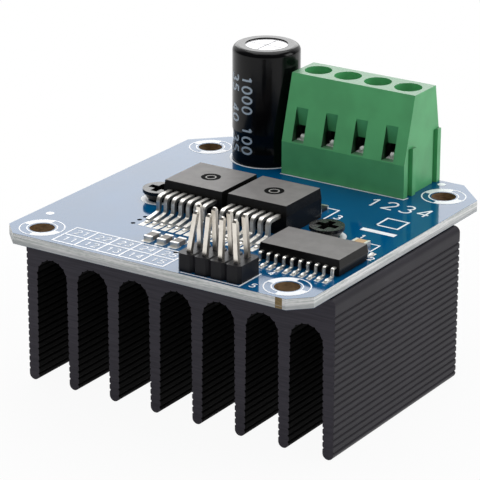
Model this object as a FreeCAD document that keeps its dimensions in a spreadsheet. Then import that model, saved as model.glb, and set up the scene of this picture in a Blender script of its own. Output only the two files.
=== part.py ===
import FreeCAD, Part
import math
import os
import re
import Sketcher

# A motor driver module: a circuit board screwed down on a finned heatsink, with two power chips,
# a logic chip, a pin header, a screw terminal block and one large capacitor.
# The origin is under the middle of the fins, X runs to the right along the front edge of the
# board, Y runs to the back and Z is up.

doc = FreeCAD.newDocument("motor_driver_module")
sheet = doc.addObject("Spreadsheet::Sheet", "Sizes")

# Every driving size, in millimetres or degrees: its name, its value and what it measures.
SIZES = [
    ("board_width", 50.4, "board, left to right"),
    ("board_depth", 52.2, "board, front to back"),
    ("board_thickness", 1.6, "board"),
    ("board_offset", 0.3, "board's middle to the left of the heatsink's middle"),
    ("front_corner_cut", 2.7, "leg of the cut at each front corner of the board"),
    ("back_corner_cut", 4.8, "leg of the cut at each back corner of the board"),
    ("corner_hole_radius", 1.8, "mounting hole"),
    ("corner_hole_side", 4.9, "mounting hole's centre to the side edge"),
    ("corner_hole_front", 3.9, "mounting hole's centre to the front edge"),
    ("corner_hole_back", 5.9, "mounting hole's centre to the back edge"),
    ("via_radius", 0.35, "plated hole through the board"),
    ("heatsink_width", 51.5, "heatsink, left to right"),
    ("heatsink_height", 23.4, "heatsink, fin tips to top"),
    ("heatsink_setback", 6.8, "board's front edge to the heatsink's front"),
    ("heatsink_rear_gap", 11.3, "board's back edge to the heatsink's back"),
    ("heatsink_base", 4.3, "metal above the crown of each channel"),
    ("heatsink_corner", 0.9, "radius along the two top edges"),
    ("heatsink_shoulder", 1.65, "smooth band at the top of each outer side"),
    ("fin_count", 8, "fins"),
    ("fin_edge", 0.9, "heatsink's side to the middle of its outer fin"),
    ("fin_root", 1.95, "fin, at its root"),
    ("fin_tip", 1.65, "fin, at its tip"),
    ("ridge_pitch", 1.0, "one ridge to the next on the fins"),
    ("ridge_groove", 0.42, "width of the groove between two ridges"),
    ("ridge_depth", 0.18, "depth of the groove between two ridges"),
    ("pad_side_inset", 1.75, "heatsink's side to the thermal pad"),
    ("pad_end_inset", 1.05, "heatsink's front and back to the thermal pad"),
    ("pad_thickness", 0.2, "thermal pad"),
    ("fastener_left", -13.4, "left heatsink screw, from the board's middle"),
    ("fastener_right", 14.8, "right heatsink screw, from the board's middle"),
    ("fastener_setback", 22.9, "board's front edge to the line of the heatsink screws"),
    ("fastener_head_radius", 2.5, "heatsink screw's head"),
    ("fastener_head_rim", 0.5, "upright rim of the head"),
    ("fastener_head_cone", 1.2, "cone under the rim"),
    ("fastener_neck", 1.6, "radius of the cone's foot, on the board"),
    ("fastener_radius", 1.45, "heatsink screw's shank"),
    ("fastener_grip", 3.8, "shank's length in the heatsink"),
    ("fastener_play", 0.05, "clearance around the shank"),
    ("recess_length", 3.4, "cross recess, tip to tip"),
    ("recess_width", 1.1, "cross recess, across one arm"),
    ("recess_depth", 1.1, "cross recess"),
    ("chip_left", -5.55, "left power chip's middle"),
    ("chip_right", 5.15, "right power chip's middle"),
    ("chip_setback", 24.4, "board's front edge to the middle line of the power chips"),
    ("chip_width", 9.95, "power chip at its widest, left to right"),
    ("chip_depth", 9.3, "power chip at its widest, front to back"),
    ("chip_height", 4.4, "power chip's top above the board"),
    ("chip_parting", 2.85, "height of the leads' middle and of the moulding line"),
    ("chip_draft_top", 5.5, "draft above the moulding line"),
    ("chip_draft_base", 0.5, "draft below the moulding line"),
    ("chip_mark_radius", 1.45, "round mark in the chip's top"),
    ("chip_mark_depth", 0.12, "round mark's depth"),
    ("chip_lead_pitch", 1.27, "one lead to the next"),
    ("chip_lead_count", 7, "leads on a power chip"),
    ("chip_lead_width", 0.6, "lead"),
    ("chip_lead_thickness", 0.5, "lead"),
    ("chip_lead_root", 0.8, "lead's length inside the chip"),
    ("chip_lead_reach", 2.9, "chip's front to the middle of the upright run"),
    ("chip_lead_heel", 0.6, "height of the heel's middle"),
    ("chip_foot_length", 2.85, "heel to the end of the foot"),
    ("chip_foot_height", 0.27, "height of the foot's middle at its end"),
    ("chip_bend", 0.7, "bend radius along the middle of the lead"),
    ("tab_width", 8.4, "heat tab"),
    ("tab_thickness", 1.3, "heat tab"),
    ("tab_inside", 7.6, "heat tab's length under the chip"),
    ("tab_outside", 1.3, "heat tab's length behind the chip"),
    ("logic_x", 18.0, "logic chip's middle"),
    ("logic_setback", 14.2, "board's front edge to the logic chip's middle"),
    ("logic_width", 12.8, "logic chip at its widest, left to right"),
    ("logic_depth", 7.5, "logic chip at its widest, front to back"),
    ("logic_height", 2.45, "logic chip's top above the board"),
    ("logic_standoff", 0.1, "gap between the logic chip and the board"),
    ("logic_parting", 1.3, "height of the leads' middle and of the moulding line"),
    ("logic_draft", 7.0, "draft above and below the moulding line"),
    ("logic_lead_pitch", 1.27, "one lead to the next"),
    ("logic_lead_count", 10, "leads on each side"),
    ("logic_lead_width", 0.42, "lead"),
    ("logic_lead_thickness", 0.25, "lead"),
    ("logic_lead_root", 0.5, "lead's length inside the chip"),
    ("logic_lead_reach", 0.75, "chip's side to the middle of the upright run"),
    ("logic_foot_length", 1.35, "heel to the end of the foot"),
    ("logic_bend", 0.3, "bend radius along the middle of the lead"),
    ("header_x", 9.75, "header's middle"),
    ("header_front_gap", 0.8, "board's front edge to the header"),
    ("header_pitch", 2.54, "one pin to the next"),
    ("header_columns", 4, "pins in a row"),
    ("header_height", 2.54, "header's plastic base"),
    ("header_notch", 0.45, "notch between two segments, half its width and its depth, and cut of a corner"),
    ("header_groove", 0.2, "groove across the top between two segments"),
    ("pin_width", 0.64, "square pin"),
    ("pin_above", 6.0, "pin above the plastic base"),
    ("pin_below", 0.9, "pin below the board"),
    ("pin_point", 0.35, "tapered end of a pin"),
    ("pin_play", 0.02, "clearance between a pin and the plastic"),
    ("pin_hole_gap", 0.05, "clearance around a header pin's corners in the board"),
    ("block_x", 5.48, "terminal block's middle"),
    ("block_back_gap", 0.1, "terminal block's back to the board's back edge"),
    ("block_pitch", 5.08, "one pole to the next"),
    ("block_poles", 4, "poles"),
    ("block_left_cheek", 0.15, "wall added beyond the left pole"),
    ("block_right_cheek", 0.35, "wall added beyond the right pole"),
    ("block_depth", 10.0, "terminal block at the board"),
    ("block_height", 14.9, "terminal block"),
    ("block_sill", 5.0, "height of its upright front"),
    ("block_front_slope", 2.75, "how far the front leans back"),
    ("block_back_step", 0.1, "ledge in the back"),
    ("block_back_slope", 1.15, "how far the back leans forward above the ledge"),
    ("block_shoulder", 8.3, "height of its upright back"),
    ("block_step_rise", 0.1, "height of the slope of the ledge"),
    ("rib_proud", 0.38, "ribs on the right side, out of the side"),
    ("rib_width", 0.95, "ribs, front to back"),
    ("front_rib_height", 7.2, "front rib"),
    ("back_rib_height", 8.2, "back rib"),
    ("rib_front", 1.8, "block's front to the first rib"),
    ("rib_groove_width", 0.7, "groove in the side in front of each rib"),
    ("rib_groove_depth", 0.3, "groove in the side in front of each rib"),
    ("window_width", 2.0, "wire window"),
    ("window_bottom", 5.2, "height of the window's sill"),
    ("window_top", 10.2, "height of the window's head"),
    ("throat_top", 7.3, "height of the inner end of the wire throat"),
    ("throat_start", 2.1, "block's front to the inner end of the sloping roof"),
    ("clamp_y", 5.75, "block's front to the clamp screws"),
    ("driver_gap", 0.2, "clearance around the clamp screw's head"),
    ("clamp_head_radius", 1.85, "clamp screw's head"),
    ("clamp_head_height", 1.45, "clamp screw's head"),
    ("clamp_slot_width", 0.6, "slot in the head"),
    ("clamp_slot_depth", 0.7, "slot in the head"),
    ("clamp_shank_radius", 1.25, "clamp screw's shank"),
    ("shank_gap", 0.2, "clearance between the shank and the cage's walls"),
    ("clamp_ledge", 0.6, "plastic ledge under the screw's head"),
    ("clamp_travel", 1.6, "how far the cage rises"),
    ("clamp_play", 0.1, "clearance above and below moving pieces"),
    ("thread_play", 0.05, "clearance around the clamp screw's thread"),
    ("cage_depth", 4.4, "clamp cage, front to back"),
    ("cage_side", 0.55, "cage's upright walls"),
    ("cage_jaw", 1.0, "cage's lower wall"),
    ("cage_crown", 1.0, "cage's upper wall"),
    ("cage_gap", 0.15, "clearance around the cage"),
    ("wire_gap", 2.0, "open height between the jaw and the contact"),
    ("lip_width", 1.8, "tongue of the jaw under the window"),
    ("front_wall", 1.2, "plastic in front of the clamps, below the windows"),
    ("nose_radius", 0.45, "ball nose on the tongue"),
    ("nose_inset", 0.4, "ball nose's centre behind the tongue's tip"),
    ("nose_rise", 0.4, "ball nose's centre above the jaw"),
    ("contact_thickness", 0.8, "contact strip"),
    ("contact_width", 2.3, "contact strip"),
    ("contact_shoulder", 0.6, "height at which the strip narrows to its pin"),
    ("contact_pin_width", 1.0, "contact's pin"),
    ("contact_pin_below", 1.6, "contact's pin below the board"),
    ("contact_hole_gap", 0.1, "clearance around a contact pin's corners in the board"),
    ("can_gap", 0.7, "capacitor to the terminal block"),
    ("can_back_gap", 0.2, "capacitor to the board's back edge"),
    ("sleeve_radius", 5.1, "outside of the capacitor's sleeve"),
    ("sleeve_wall", 0.2, "capacitor's sleeve"),
    ("can_height", 17.8, "capacitor, with its sleeve"),
    ("can_corner", 0.7, "radius of the can's top edge"),
    ("can_skirt", 0.3, "can's rolled wall around the seal"),
    ("sleeve_window", 3.23, "radius of the open middle of the sleeve's top"),
    ("neck_low", 2.0, "lower edge of the crimped neck"),
    ("neck_height", 3.0, "crimped neck"),
    ("neck_depth", 0.17, "crimped neck"),
    ("vent_length", 5.2, "cross scored in the can's top, tip to tip"),
    ("vent_width", 0.22, "scored line"),
    ("vent_depth", 0.12, "scored line"),
    ("seal_height", 1.6, "rubber seal's top above the board"),
    ("seal_lift", 0.3, "rubber seal's bottom above the board"),
    ("can_lead_radius", 0.3, "capacitor's lead"),
    ("can_lead_pitch", 5.0, "one lead to the other"),
    ("can_lead_below", 1.3, "capacitor's lead below the board"),
    ("can_lead_play", 0.15, "clearance around a lead in the board"),
    ("small_length", 2.3, "small two-ended part"),
    ("small_width", 1.25, "small two-ended part"),
    ("small_height", 0.65, "capacitors in the front row"),
    ("side_height", 0.8, "capacitor behind the logic chip"),
    ("corner_height", 0.5, "resistor behind the right power chip"),
    ("small_cap", 0.4, "metal end of a small part"),
    ("small_cap_proud", 0.03, "metal end, proud of the body"),
    ("row_first", -5.0, "first small part in the front row"),
    ("row_pitch", 2.2, "one small part to the next"),
    ("row_count", 3, "small parts in the front row"),
    ("row_gap", 1.9, "header's back to the front row"),
    ("side_part_x", 20.7, "small part behind the logic chip"),
    ("side_part_setback", 22.3, "board's front edge to the small part behind the logic chip"),
    ("corner_part_x", 8.5, "small part behind the right power chip"),
    ("corner_part_setback", 31.5, "board's front edge to the part behind the right power chip"),
    ("joint_height", 0.6, "solder cone under the board"),
    ("joint_radius", 0.95, "solder cone at the board"),
    ("joint_top", 0.62, "solder cone at its tip"),
    ("big_joint_radius", 1.5, "solder cone of a terminal at the board"),
    ("big_joint_top", 0.85, "solder cone of a terminal at its tip"),
]

# Plated holes near the left chip's leads and beside the header: how far each lies from the
# board's middle line and from its front edge.
VIA_PLACES = [("-10.8", "15.5"), ("-10.8", "14.1"), ("-10.8", "12.5"), ("0.8", "6.2")]

# How far the tip of each header pin leans to the right: the front row, then the back row.
PIN_LEANS = [[1.15, 0.65, 0.25, -0.3], [-0.1, -0.2, -0.35, -0.5]]

for row, (name, amount, meaning) in enumerate(SIZES, start=1):
    sheet.set("A%d" % row, meaning)
    sheet.set("B%d" % row, str(amount))
    sheet.setAlias("B%d" % row, name)
doc.recompute()

NAMES = {name for name, amount, meaning in SIZES}

# Heights and places that several pieces share, written in the sheet's names.
BOARD_BOTTOM = "(heatsink_height + pad_thickness)"
BOARD_TOP = "(heatsink_height + pad_thickness + board_thickness)"
HEATSINK_FRONT = "(-board_depth / 2 + heatsink_setback)"
HEATSINK_DEPTH = "(board_depth - heatsink_setback - heatsink_rear_gap)"
HEATSINK_MIDDLE = "((heatsink_setback - heatsink_rear_gap) / 2)"
FASTENER_LINE = "(-board_depth / 2 + fastener_setback)"
CHIP_LINE = "(-board_depth / 2 + chip_setback)"
HEADER_LINE = "(-board_depth / 2 + header_front_gap + header_pitch)"
LOGIC_LINE = "(-board_depth / 2 + logic_setback)"
BLOCK_FRONT = "(board_depth / 2 - block_back_gap - block_depth)"
BLOCK_LEFT = "(block_pitch * block_poles / 2 + block_left_cheek)"
BLOCK_RIGHT = "(block_pitch * block_poles / 2 + block_right_cheek)"
FIRST_POLE = "(-block_pitch * (block_poles - 1) / 2)"
CAN_X = "(block_x - block_pitch * block_poles / 2 - block_left_cheek - can_gap - sleeve_radius)"
CAN_Y = "(board_depth / 2 - can_back_gap - sleeve_radius)"
ROW_LINE = "(-board_depth / 2 + header_front_gap + 2 * header_pitch + row_gap + small_length / 2)"

# Outer width of a clamp's cage, and levels inside the terminal block above the board.
CAGE_WIDTH = "(2 * (clamp_shank_radius + shank_gap + cage_side))"
JAW_TOP = "(throat_top - wire_gap)"
BLADE_TOP = "(throat_top + contact_thickness)"
CROWN_BOTTOM = "(throat_top + contact_thickness + clamp_play)"
CROWN_TOP = "(throat_top + contact_thickness + clamp_play + cage_crown)"
LEDGE_BOTTOM = "(throat_top + contact_thickness + 2 * clamp_play + cage_crown + clamp_travel)"
LEDGE_TOP = "(throat_top + contact_thickness + 2 * clamp_play + cage_crown + clamp_travel + clamp_ledge)"
HEAD_BOTTOM = ("(throat_top + contact_thickness + 2 * clamp_play + cage_crown + clamp_travel"
               " + clamp_ledge + thread_play)")
CAGE_FRONT = "(clamp_y - cage_depth / 2)"
CAGE_BACK = "(clamp_y + cage_depth / 2)"
STRIP_BACK = "(clamp_y + cage_depth / 2 + cage_gap + contact_thickness)"


def formula(text):
    """An expression in which each size is named with its sheet."""
    return re.sub(r"[a-z]\w*", lambda word: "Sizes." + word[0] if word[0] in NAMES else word[0], text)


def value(text):
    """The number that an expression gives now."""
    return float(sheet.evalExpression(formula(text)))


def bind(item, **properties):
    """Tie properties of an object to expressions."""
    for name, text in properties.items():
        item.setExpression(name, formula(text))


def place(item, x="0", y="0", z="0"):
    """Tie an object's place to expressions."""
    for axis, text in zip("xyz", (x, y, z)):
        item.setExpression("Placement.Base." + axis, formula(text))


def place_on_board(item, x="0", y="0"):
    """Set an object on top of the board, at x and y from the board's middle."""
    place(item, "(%s) - board_offset" % x, y, BOARD_TOP)


def new_body(label):
    """An empty body with its own label."""
    body = doc.addObject("PartDesign::Body", "Body_" + label)
    body.Label = label
    return body


def origin_part(body, role):
    """One of a body's own origin planes or axes."""
    return next(part for part in body.Origin.OriginFeatures if part.Role == role)


def new_sketch(body, role, height="0"):
    """A sketch on one of the body's origin planes, lifted along the plane's normal."""
    sketch = body.newObject("Sketcher::SketchObject", "Sketch")
    sketch.AttachmentSupport = [(origin_part(body, role), "")]
    sketch.MapMode = "FlatFace"
    sketch.setExpression("AttachmentOffset.Base.z", formula(height))
    return sketch


def hold(sketch, kind, items, text):
    """Add one dimension to a sketch and tie it to an expression."""
    number = sketch.addConstraint(Sketcher.Constraint(kind, *items, value(text)))
    sketch.setExpression("Constraints[%d]" % number, formula(text))


def flat_spot(x, y):
    """The point that two expressions give now, on a sketch."""
    return FreeCAD.Vector(value(x), value(y), 0)


def hold_spot(sketch, item, end, x, y):
    """Hold one end of a sketch's line, arc or point by its distances from the sketch's origin."""
    hold(sketch, "DistanceX", (-1, 1, item, end), x)
    hold(sketch, "DistanceY", (-1, 1, item, end), y)


def add_outline(sketch, points):
    """A closed outline through points, each held by its distances from the sketch's origin.

    A point is a pair of expressions. Where a third item gives another pair, an arc that runs
    through that place leads to the next point, instead of a straight line.
    """
    ends = []
    for point, following in zip(points, points[1:] + points[:1]):
        start, finish = flat_spot(*point[:2]), flat_spot(*following[:2])
        if len(point) == 2:
            ends.append((sketch.addGeometry(Part.LineSegment(start, finish), False), 1, 2))
            continue
        item = sketch.addGeometry(Part.Arc(start, flat_spot(*point[2]), finish), False)
        forward = sketch.getPoint(item, 1).distanceToPoint(start) < 1e-6
        ends.append((item, 1, 2) if forward else (item, 2, 1))
        crown = sketch.addGeometry(Part.Point(flat_spot(*point[2])), True)
        sketch.addConstraint(Sketcher.Constraint("PointOnObject", crown, 1, item))
        hold_spot(sketch, crown, 1, *point[2])
    for (item, start, finish), (after, joined, far) in zip(ends, ends[1:] + ends[:1]):
        sketch.addConstraint(Sketcher.Constraint("Coincident", item, finish, after, joined))
    for (item, start, finish), point in zip(ends, points):
        hold_spot(sketch, item, start, *point[:2])


def round_corner(x, y, radius):
    """The two points of an outline's upper right corner, and the quarter round between them."""
    lean = radius + " * (1 - sqrt(0.5))"
    crown = ("%s - %s" % (x, lean), "%s - %s" % (y, lean))
    return [(x, "%s - %s" % (y, radius), crown), ("%s - %s" % (x, radius), y)]


def add_cross(sketch, width, length):
    """The outline of a cross with arms of one width, around the sketch's origin."""
    near, far = width + " / 2", length + " / 2"
    quarter = [(far, near), (near, near), (near, far)]
    corners = quarter
    corners = corners + [("-" + x, y) for x, y in reversed(quarter)]
    corners = corners + [("-" + x, "-" + y) for x, y in quarter]
    corners = corners + [(x, "-" + y) for x, y in reversed(quarter)]
    add_outline(sketch, corners)


def add_rectangle(sketch, left, right, low, high):
    """A rectangle between two pairs of distances from the sketch's origin."""
    add_outline(sketch, [(left, low), (right, low), (right, high), (left, high)])


def add_circle(sketch, x, y, radius):
    """A circle held by its centre and its radius."""
    centre = FreeCAD.Vector(value(x), value(y), 0)
    number = sketch.addGeometry(Part.Circle(centre, FreeCAD.Vector(0, 0, 1), value(radius)), False)
    hold(sketch, "DistanceX", (-1, 1, number, 3), x)
    hold(sketch, "DistanceY", (-1, 1, number, 3), y)
    hold(sketch, "Radius", (number,), radius)


def pad(body, sketch, length, side="One side", reverse=False, draft=None):
    """Raise a sketch into a solid."""
    feature = body.newObject("PartDesign::Pad", "Pad")
    feature.Profile = sketch
    feature.SideType = side
    feature.Reversed = reverse
    bind(feature, Length=length)
    if draft:
        bind(feature, TaperAngle=draft)
    doc.recompute()
    return feature


def pocket(body, sketch, length, side="One side", reverse=False):
    """Sink a sketch into the body, and make sure that it cuts."""
    before = body.Shape.Volume
    feature = body.newObject("PartDesign::Pocket", "Pocket")
    feature.Profile = sketch
    feature.SideType = side
    feature.Reversed = reverse
    bind(feature, Length=length)
    doc.recompute()
    if not body.Shape.Volume < before:
        raise RuntimeError("a pocket cuts nothing in " + body.Label)
    return feature


def revolve(body, sketch):
    """Turn a sketch once around its upright axis."""
    feature = body.newObject("PartDesign::Revolution", "Revolution")
    feature.Profile = sketch
    feature.ReferenceAxis = (sketch, ["V_Axis"])
    feature.Angle = 360
    doc.recompute()
    return feature


def repeat(body, features, span, count):
    """Repeat features in a line to the right: span is the distance from the first copy to the last."""
    pattern = body.newObject("PartDesign::LinearPattern", "LinearPattern")
    pattern.Originals = features
    pattern.Direction = (origin_part(body, "X_Axis"), [""])
    bind(pattern, Length=span, Occurrences=count)
    body.Tip = pattern
    doc.recompute()
    return pattern


def new_feature(label, shape):
    """A sub-part whose shape comes from Part's own functions."""
    item = doc.addObject("Part::Feature", "Feature_" + label)
    item.Label = label
    item.Shape = shape
    return item


def header_pin_places():
    """Column, row and place of each header pin from the header's middle."""
    columns = int(value("header_columns"))
    places = []
    for row in range(2):
        for column in range(columns):
            x = "((%d - (header_columns - 1) / 2) * header_pitch)" % column
            y = "((%d - 0.5) * header_pitch)" % row
            places.append((column, row, x, y))
    return places


def pole_x(number):
    """The middle of one pole of the terminal block, from the block's middle."""
    return "(%s + %d * block_pitch)" % (FIRST_POLE, number)


def make_board():
    """The board: cut corners, mounting holes and a drilled hole for each lead."""
    body = new_body("circuit_board")
    outline = new_sketch(body, "XY_Plane")
    add_outline(outline, [
        ("-board_width / 2 + front_corner_cut", "-board_depth / 2"),
        ("board_width / 2 - front_corner_cut", "-board_depth / 2"),
        ("board_width / 2", "-board_depth / 2 + front_corner_cut"),
        ("board_width / 2", "board_depth / 2 - back_corner_cut"),
        ("board_width / 2 - back_corner_cut", "board_depth / 2"),
        ("-board_width / 2 + back_corner_cut", "board_depth / 2"),
        ("-board_width / 2", "board_depth / 2 - back_corner_cut"),
        ("-board_width / 2", "-board_depth / 2 + front_corner_cut"),
    ])
    pad(body, outline, "board_thickness")
    holes = new_sketch(body, "XY_Plane")
    for sign in ("-", ""):
        across = "%s(board_width / 2 - corner_hole_side)" % sign
        add_circle(holes, across, "-board_depth / 2 + corner_hole_front", "corner_hole_radius")
        add_circle(holes, across, "board_depth / 2 - corner_hole_back", "corner_hole_radius")
    for x, setback in VIA_PLACES:
        add_circle(holes, x, "-board_depth / 2 + " + setback, "via_radius")
    for column, row, x, y in header_pin_places():
        add_circle(holes, "header_x + " + x, "%s + %s" % (HEADER_LINE, y), "pin_width * sqrt(0.5) + pin_hole_gap")
    contact_hole = "sqrt(contact_pin_width ^ 2 + contact_thickness ^ 2) / 2 + contact_hole_gap"
    for number in range(int(value("block_poles"))):
        middle = "%s + %s - contact_thickness / 2" % (BLOCK_FRONT, STRIP_BACK)
        add_circle(holes, "block_x + " + pole_x(number), middle, contact_hole)
    for sign in ("-", "+"):
        lead = "%s %s can_lead_pitch / 2" % (CAN_X, sign)
        add_circle(holes, lead, CAN_Y, "can_lead_radius + can_lead_play")
    for x in ("fastener_left", "fastener_right"):
        add_circle(holes, x, FASTENER_LINE, "fastener_radius + fastener_play")
    pocket(body, holes, "board_thickness", reverse=True)
    place(body, "-board_offset", "0", BOARD_BOTTOM)
    return body


def straight_edges(points):
    """Straight edges from each point to the next."""
    return [Part.LineSegment(start, end).toShape() for start, end in zip(points, points[1:])]


def ridged_line(start, end):
    """Edges from start to end, with a groove cut to the right of the way at each pitch."""
    along = end - start
    count = max(1, round(along.Length / value("ridge_pitch")))
    forward = FreeCAD.Vector(along).normalize()
    inward = FreeCAD.Vector(forward.z, 0, -forward.x)
    half_groove = forward * (value("ridge_groove") / 2)
    points = [start]
    for number in range(count):
        next_ridge = start + along * ((number + 1) / count)
        groove = next_ridge - half_groove
        points += [groove - half_groove, groove + inward * value("ridge_depth"), next_ridge]
    return straight_edges(points)


def ridged_arch(centre, radius):
    """Edges over a round channel roof from right to left: arcs with a groove at each pitch."""
    count = max(1, round(math.pi * radius / value("ridge_pitch")))
    step = math.pi / count
    half_groove = value("ridge_groove") / 2 / radius
    valley = radius + value("ridge_depth")

    def spot(angle, reach):
        return centre + FreeCAD.Vector(math.cos(angle), 0, math.sin(angle)) * reach

    edges = []
    for number in range(count):
        start, end = step * number, step * (number + 1)
        lip = end - 2 * half_groove
        arc = Part.Arc(spot(start, radius), spot((start + lip) / 2, radius), spot(lip, radius))
        edges.append(arc.toShape())
        edges += straight_edges([spot(lip, radius), spot(end - half_groove, valley), spot(end, radius)])
    return edges


def heatsink_outline():
    """The extruded section, walked clockwise from the front: top, right side, fins, left side."""
    half = value("heatsink_width / 2")
    top = value("heatsink_height")
    corner = value("heatsink_corner")
    count = int(value("fin_count"))
    pitch = value("(heatsink_width - 2 * fin_edge) / (fin_count - 1)")
    root, tip = value("fin_root / 2"), value("fin_tip / 2")
    arch_radius = pitch / 2 - root
    arch_centre = top - value("heatsink_base") - arch_radius
    shoulder = top - value("heatsink_shoulder")
    bend = corner * (1 - math.cos(math.pi / 4))

    def spot(x, z):
        return FreeCAD.Vector(x, 0, z)

    def arc(start, middle, end):
        return Part.Arc(start, middle, end).toShape()

    middles = [(number - (count - 1) / 2) * pitch for number in reversed(range(count))]
    edges = straight_edges([spot(-half + corner, top), spot(half - corner, top)])
    edges.append(arc(spot(half - corner, top), spot(half - bend, top - bend), spot(half, top - corner)))
    above = spot(half, shoulder)
    edges += straight_edges([spot(half, top - corner), above])
    for number, middle in enumerate(middles):
        right = half if number == 0 else middle + tip
        left = -half if number == count - 1 else middle - tip
        rounding = (right - left) / 2
        edges += ridged_line(above, spot(right, rounding))
        edges.append(arc(spot(right, rounding), spot((left + right) / 2, 0), spot(left, rounding)))
        if number < count - 1:
            edges += ridged_line(spot(left, rounding), spot(middle - root, arch_centre))
            edges += ridged_arch(spot(middle - pitch / 2, arch_centre), arch_radius)
            above = spot(middle - pitch + root, arch_centre)
    edges += ridged_line(spot(-half, rounding), spot(-half, shoulder))
    edges += straight_edges([spot(-half, shoulder), spot(-half, top - corner)])
    edges.append(arc(spot(-half, top - corner), spot(-half + bend, top - bend), spot(-half + corner, top)))
    return Part.Wire(edges)


def make_heatsink():
    """The heatsink: one extruded section with two holes tapped in its base."""
    section = doc.addObject("Part::Feature", "heatsink_section")
    section.Shape = heatsink_outline()
    length = doc.addObject("Part::Extrusion", "heatsink_length")
    length.Base = section
    length.DirMode = "Custom"
    length.Dir = FreeCAD.Vector(0, 1, 0)
    length.Solid = True
    bind(length, LengthFwd=HEATSINK_DEPTH)
    drills = []
    for x in ("fastener_left", "fastener_right"):
        drill = doc.addObject("Part::Cylinder", "heatsink_drill")
        bind(drill, Radius="fastener_radius + fastener_play", Height="fastener_grip + fastener_play")
        place(drill, x + " - board_offset", FASTENER_LINE + " - " + HEATSINK_FRONT,
              "heatsink_height - fastener_grip - fastener_play")
        drills.append(drill)
    holes = doc.addObject("Part::Compound", "heatsink_holes")
    holes.Links = drills
    heatsink = doc.addObject("Part::Cut", "Cut_heatsink")
    heatsink.Label = "heatsink"
    heatsink.Base = length
    heatsink.Tool = holes
    place(heatsink, "0", HEATSINK_FRONT, "0")
    return heatsink


def make_thermal_pad():
    """The soft sheet that carries heat from the board into the heatsink."""
    body = new_body("thermal_pad")
    outline = new_sketch(body, "XY_Plane")
    half_width = "(heatsink_width / 2 - pad_side_inset)"
    half_depth = "(%s / 2 - pad_end_inset)" % HEATSINK_DEPTH
    add_rectangle(outline, "-" + half_width, half_width, "-" + half_depth, half_depth)
    for x in ("fastener_left", "fastener_right"):
        add_circle(outline, x + " - board_offset", FASTENER_LINE + " - " + HEATSINK_MIDDLE,
                   "fastener_radius + 4 * fastener_play")
    pad(body, outline, "pad_thickness")
    place(body, "0", HEATSINK_MIDDLE, "heatsink_height")
    return body


def make_heatsink_screws():
    """Two screws with coned heads and cross recesses, through the board into the heatsink."""
    body = new_body("heatsink_screws")
    profile = new_sketch(body, "XZ_Plane")
    tip = "-(board_thickness + pad_thickness + fastener_grip)"
    add_outline(profile, [
        ("0", tip),
        ("fastener_radius", tip),
        ("fastener_radius", "0"),
        ("fastener_neck", "0"),
        ("fastener_head_radius", "fastener_head_cone"),
        ("fastener_head_radius", "fastener_head_cone + fastener_head_rim"),
        ("0", "fastener_head_cone + fastener_head_rim"),
    ])
    turned = revolve(body, profile)
    cross = new_sketch(body, "XY_Plane", "fastener_head_cone + fastener_head_rim")
    add_cross(cross, "recess_width", "recess_length")
    recess = pocket(body, cross, "recess_depth")
    repeat(body, [turned, recess], "fastener_right - fastener_left", "2")
    place_on_board(body, "fastener_left", FASTENER_LINE)
    return body


def make_capacitor():
    """The tall capacitor: a sealed can, its sleeve, the rubber seal and two leads."""
    can_radius = "(sleeve_radius - sleeve_wall)"
    can_top = "(can_height - sleeve_wall)"
    neck_middle = "(neck_low + neck_height / 2)"
    neck_top = "(neck_low + neck_height)"
    seal_radius = "(sleeve_radius - sleeve_wall - can_skirt)"

    can = new_body("capacitor_can")
    profile = new_sketch(can, "XZ_Plane")
    add_outline(profile, [
        ("0", "seal_height"),
        (seal_radius, "seal_height"),
        (seal_radius, "sleeve_wall"),
        (can_radius, "sleeve_wall"),
        (can_radius, "neck_low", (can_radius + " - neck_depth", neck_middle)),
        (can_radius, neck_top),
        *round_corner(can_radius, can_top, "can_corner"),
        ("0", can_top),
    ])
    revolve(can, profile)
    vent = new_sketch(can, "XY_Plane", can_top)
    add_cross(vent, "vent_width", "vent_length")
    pocket(can, vent, "vent_depth")

    sleeve = new_body("capacitor_sleeve")
    profile = new_sketch(sleeve, "XZ_Plane")
    inner_side, inner_top = round_corner(can_radius, can_top, "can_corner")
    add_outline(profile, [
        (seal_radius, "0"),
        ("sleeve_radius", "0"),
        ("sleeve_radius", "neck_low", ("sleeve_radius - neck_depth", neck_middle)),
        ("sleeve_radius", neck_top),
        *round_corner("sleeve_radius", "can_height", "(can_corner + sleeve_wall)"),
        ("sleeve_window", "can_height"),
        ("sleeve_window", can_top),
        (*inner_top, inner_side[2]),
        inner_side[:2],
        (can_radius, neck_top, (can_radius + " - neck_depth", neck_middle)),
        (can_radius, "neck_low"),
        (can_radius, "sleeve_wall"),
        (seal_radius, "sleeve_wall"),
    ])
    revolve(sleeve, profile)

    seal = new_body("capacitor_seal")
    disc = new_sketch(seal, "XY_Plane", "seal_lift")
    add_circle(disc, "0", "0", seal_radius)
    for sign in ("-", ""):
        add_circle(disc, sign + "can_lead_pitch / 2", "0", "can_lead_radius")
    pad(seal, disc, "seal_height - seal_lift")

    leads = new_body("capacitor_leads")
    ends = new_sketch(leads, "XY_Plane", "-(board_thickness + can_lead_below)")
    for sign in ("-", ""):
        add_circle(ends, sign + "can_lead_pitch / 2", "0", "can_lead_radius")
    pad(leads, ends, "board_thickness + can_lead_below + seal_height")
    pieces = [can, sleeve, seal, leads]
    for piece in pieces:
        place_on_board(piece, CAN_X, CAN_Y)
    return pieces


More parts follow.
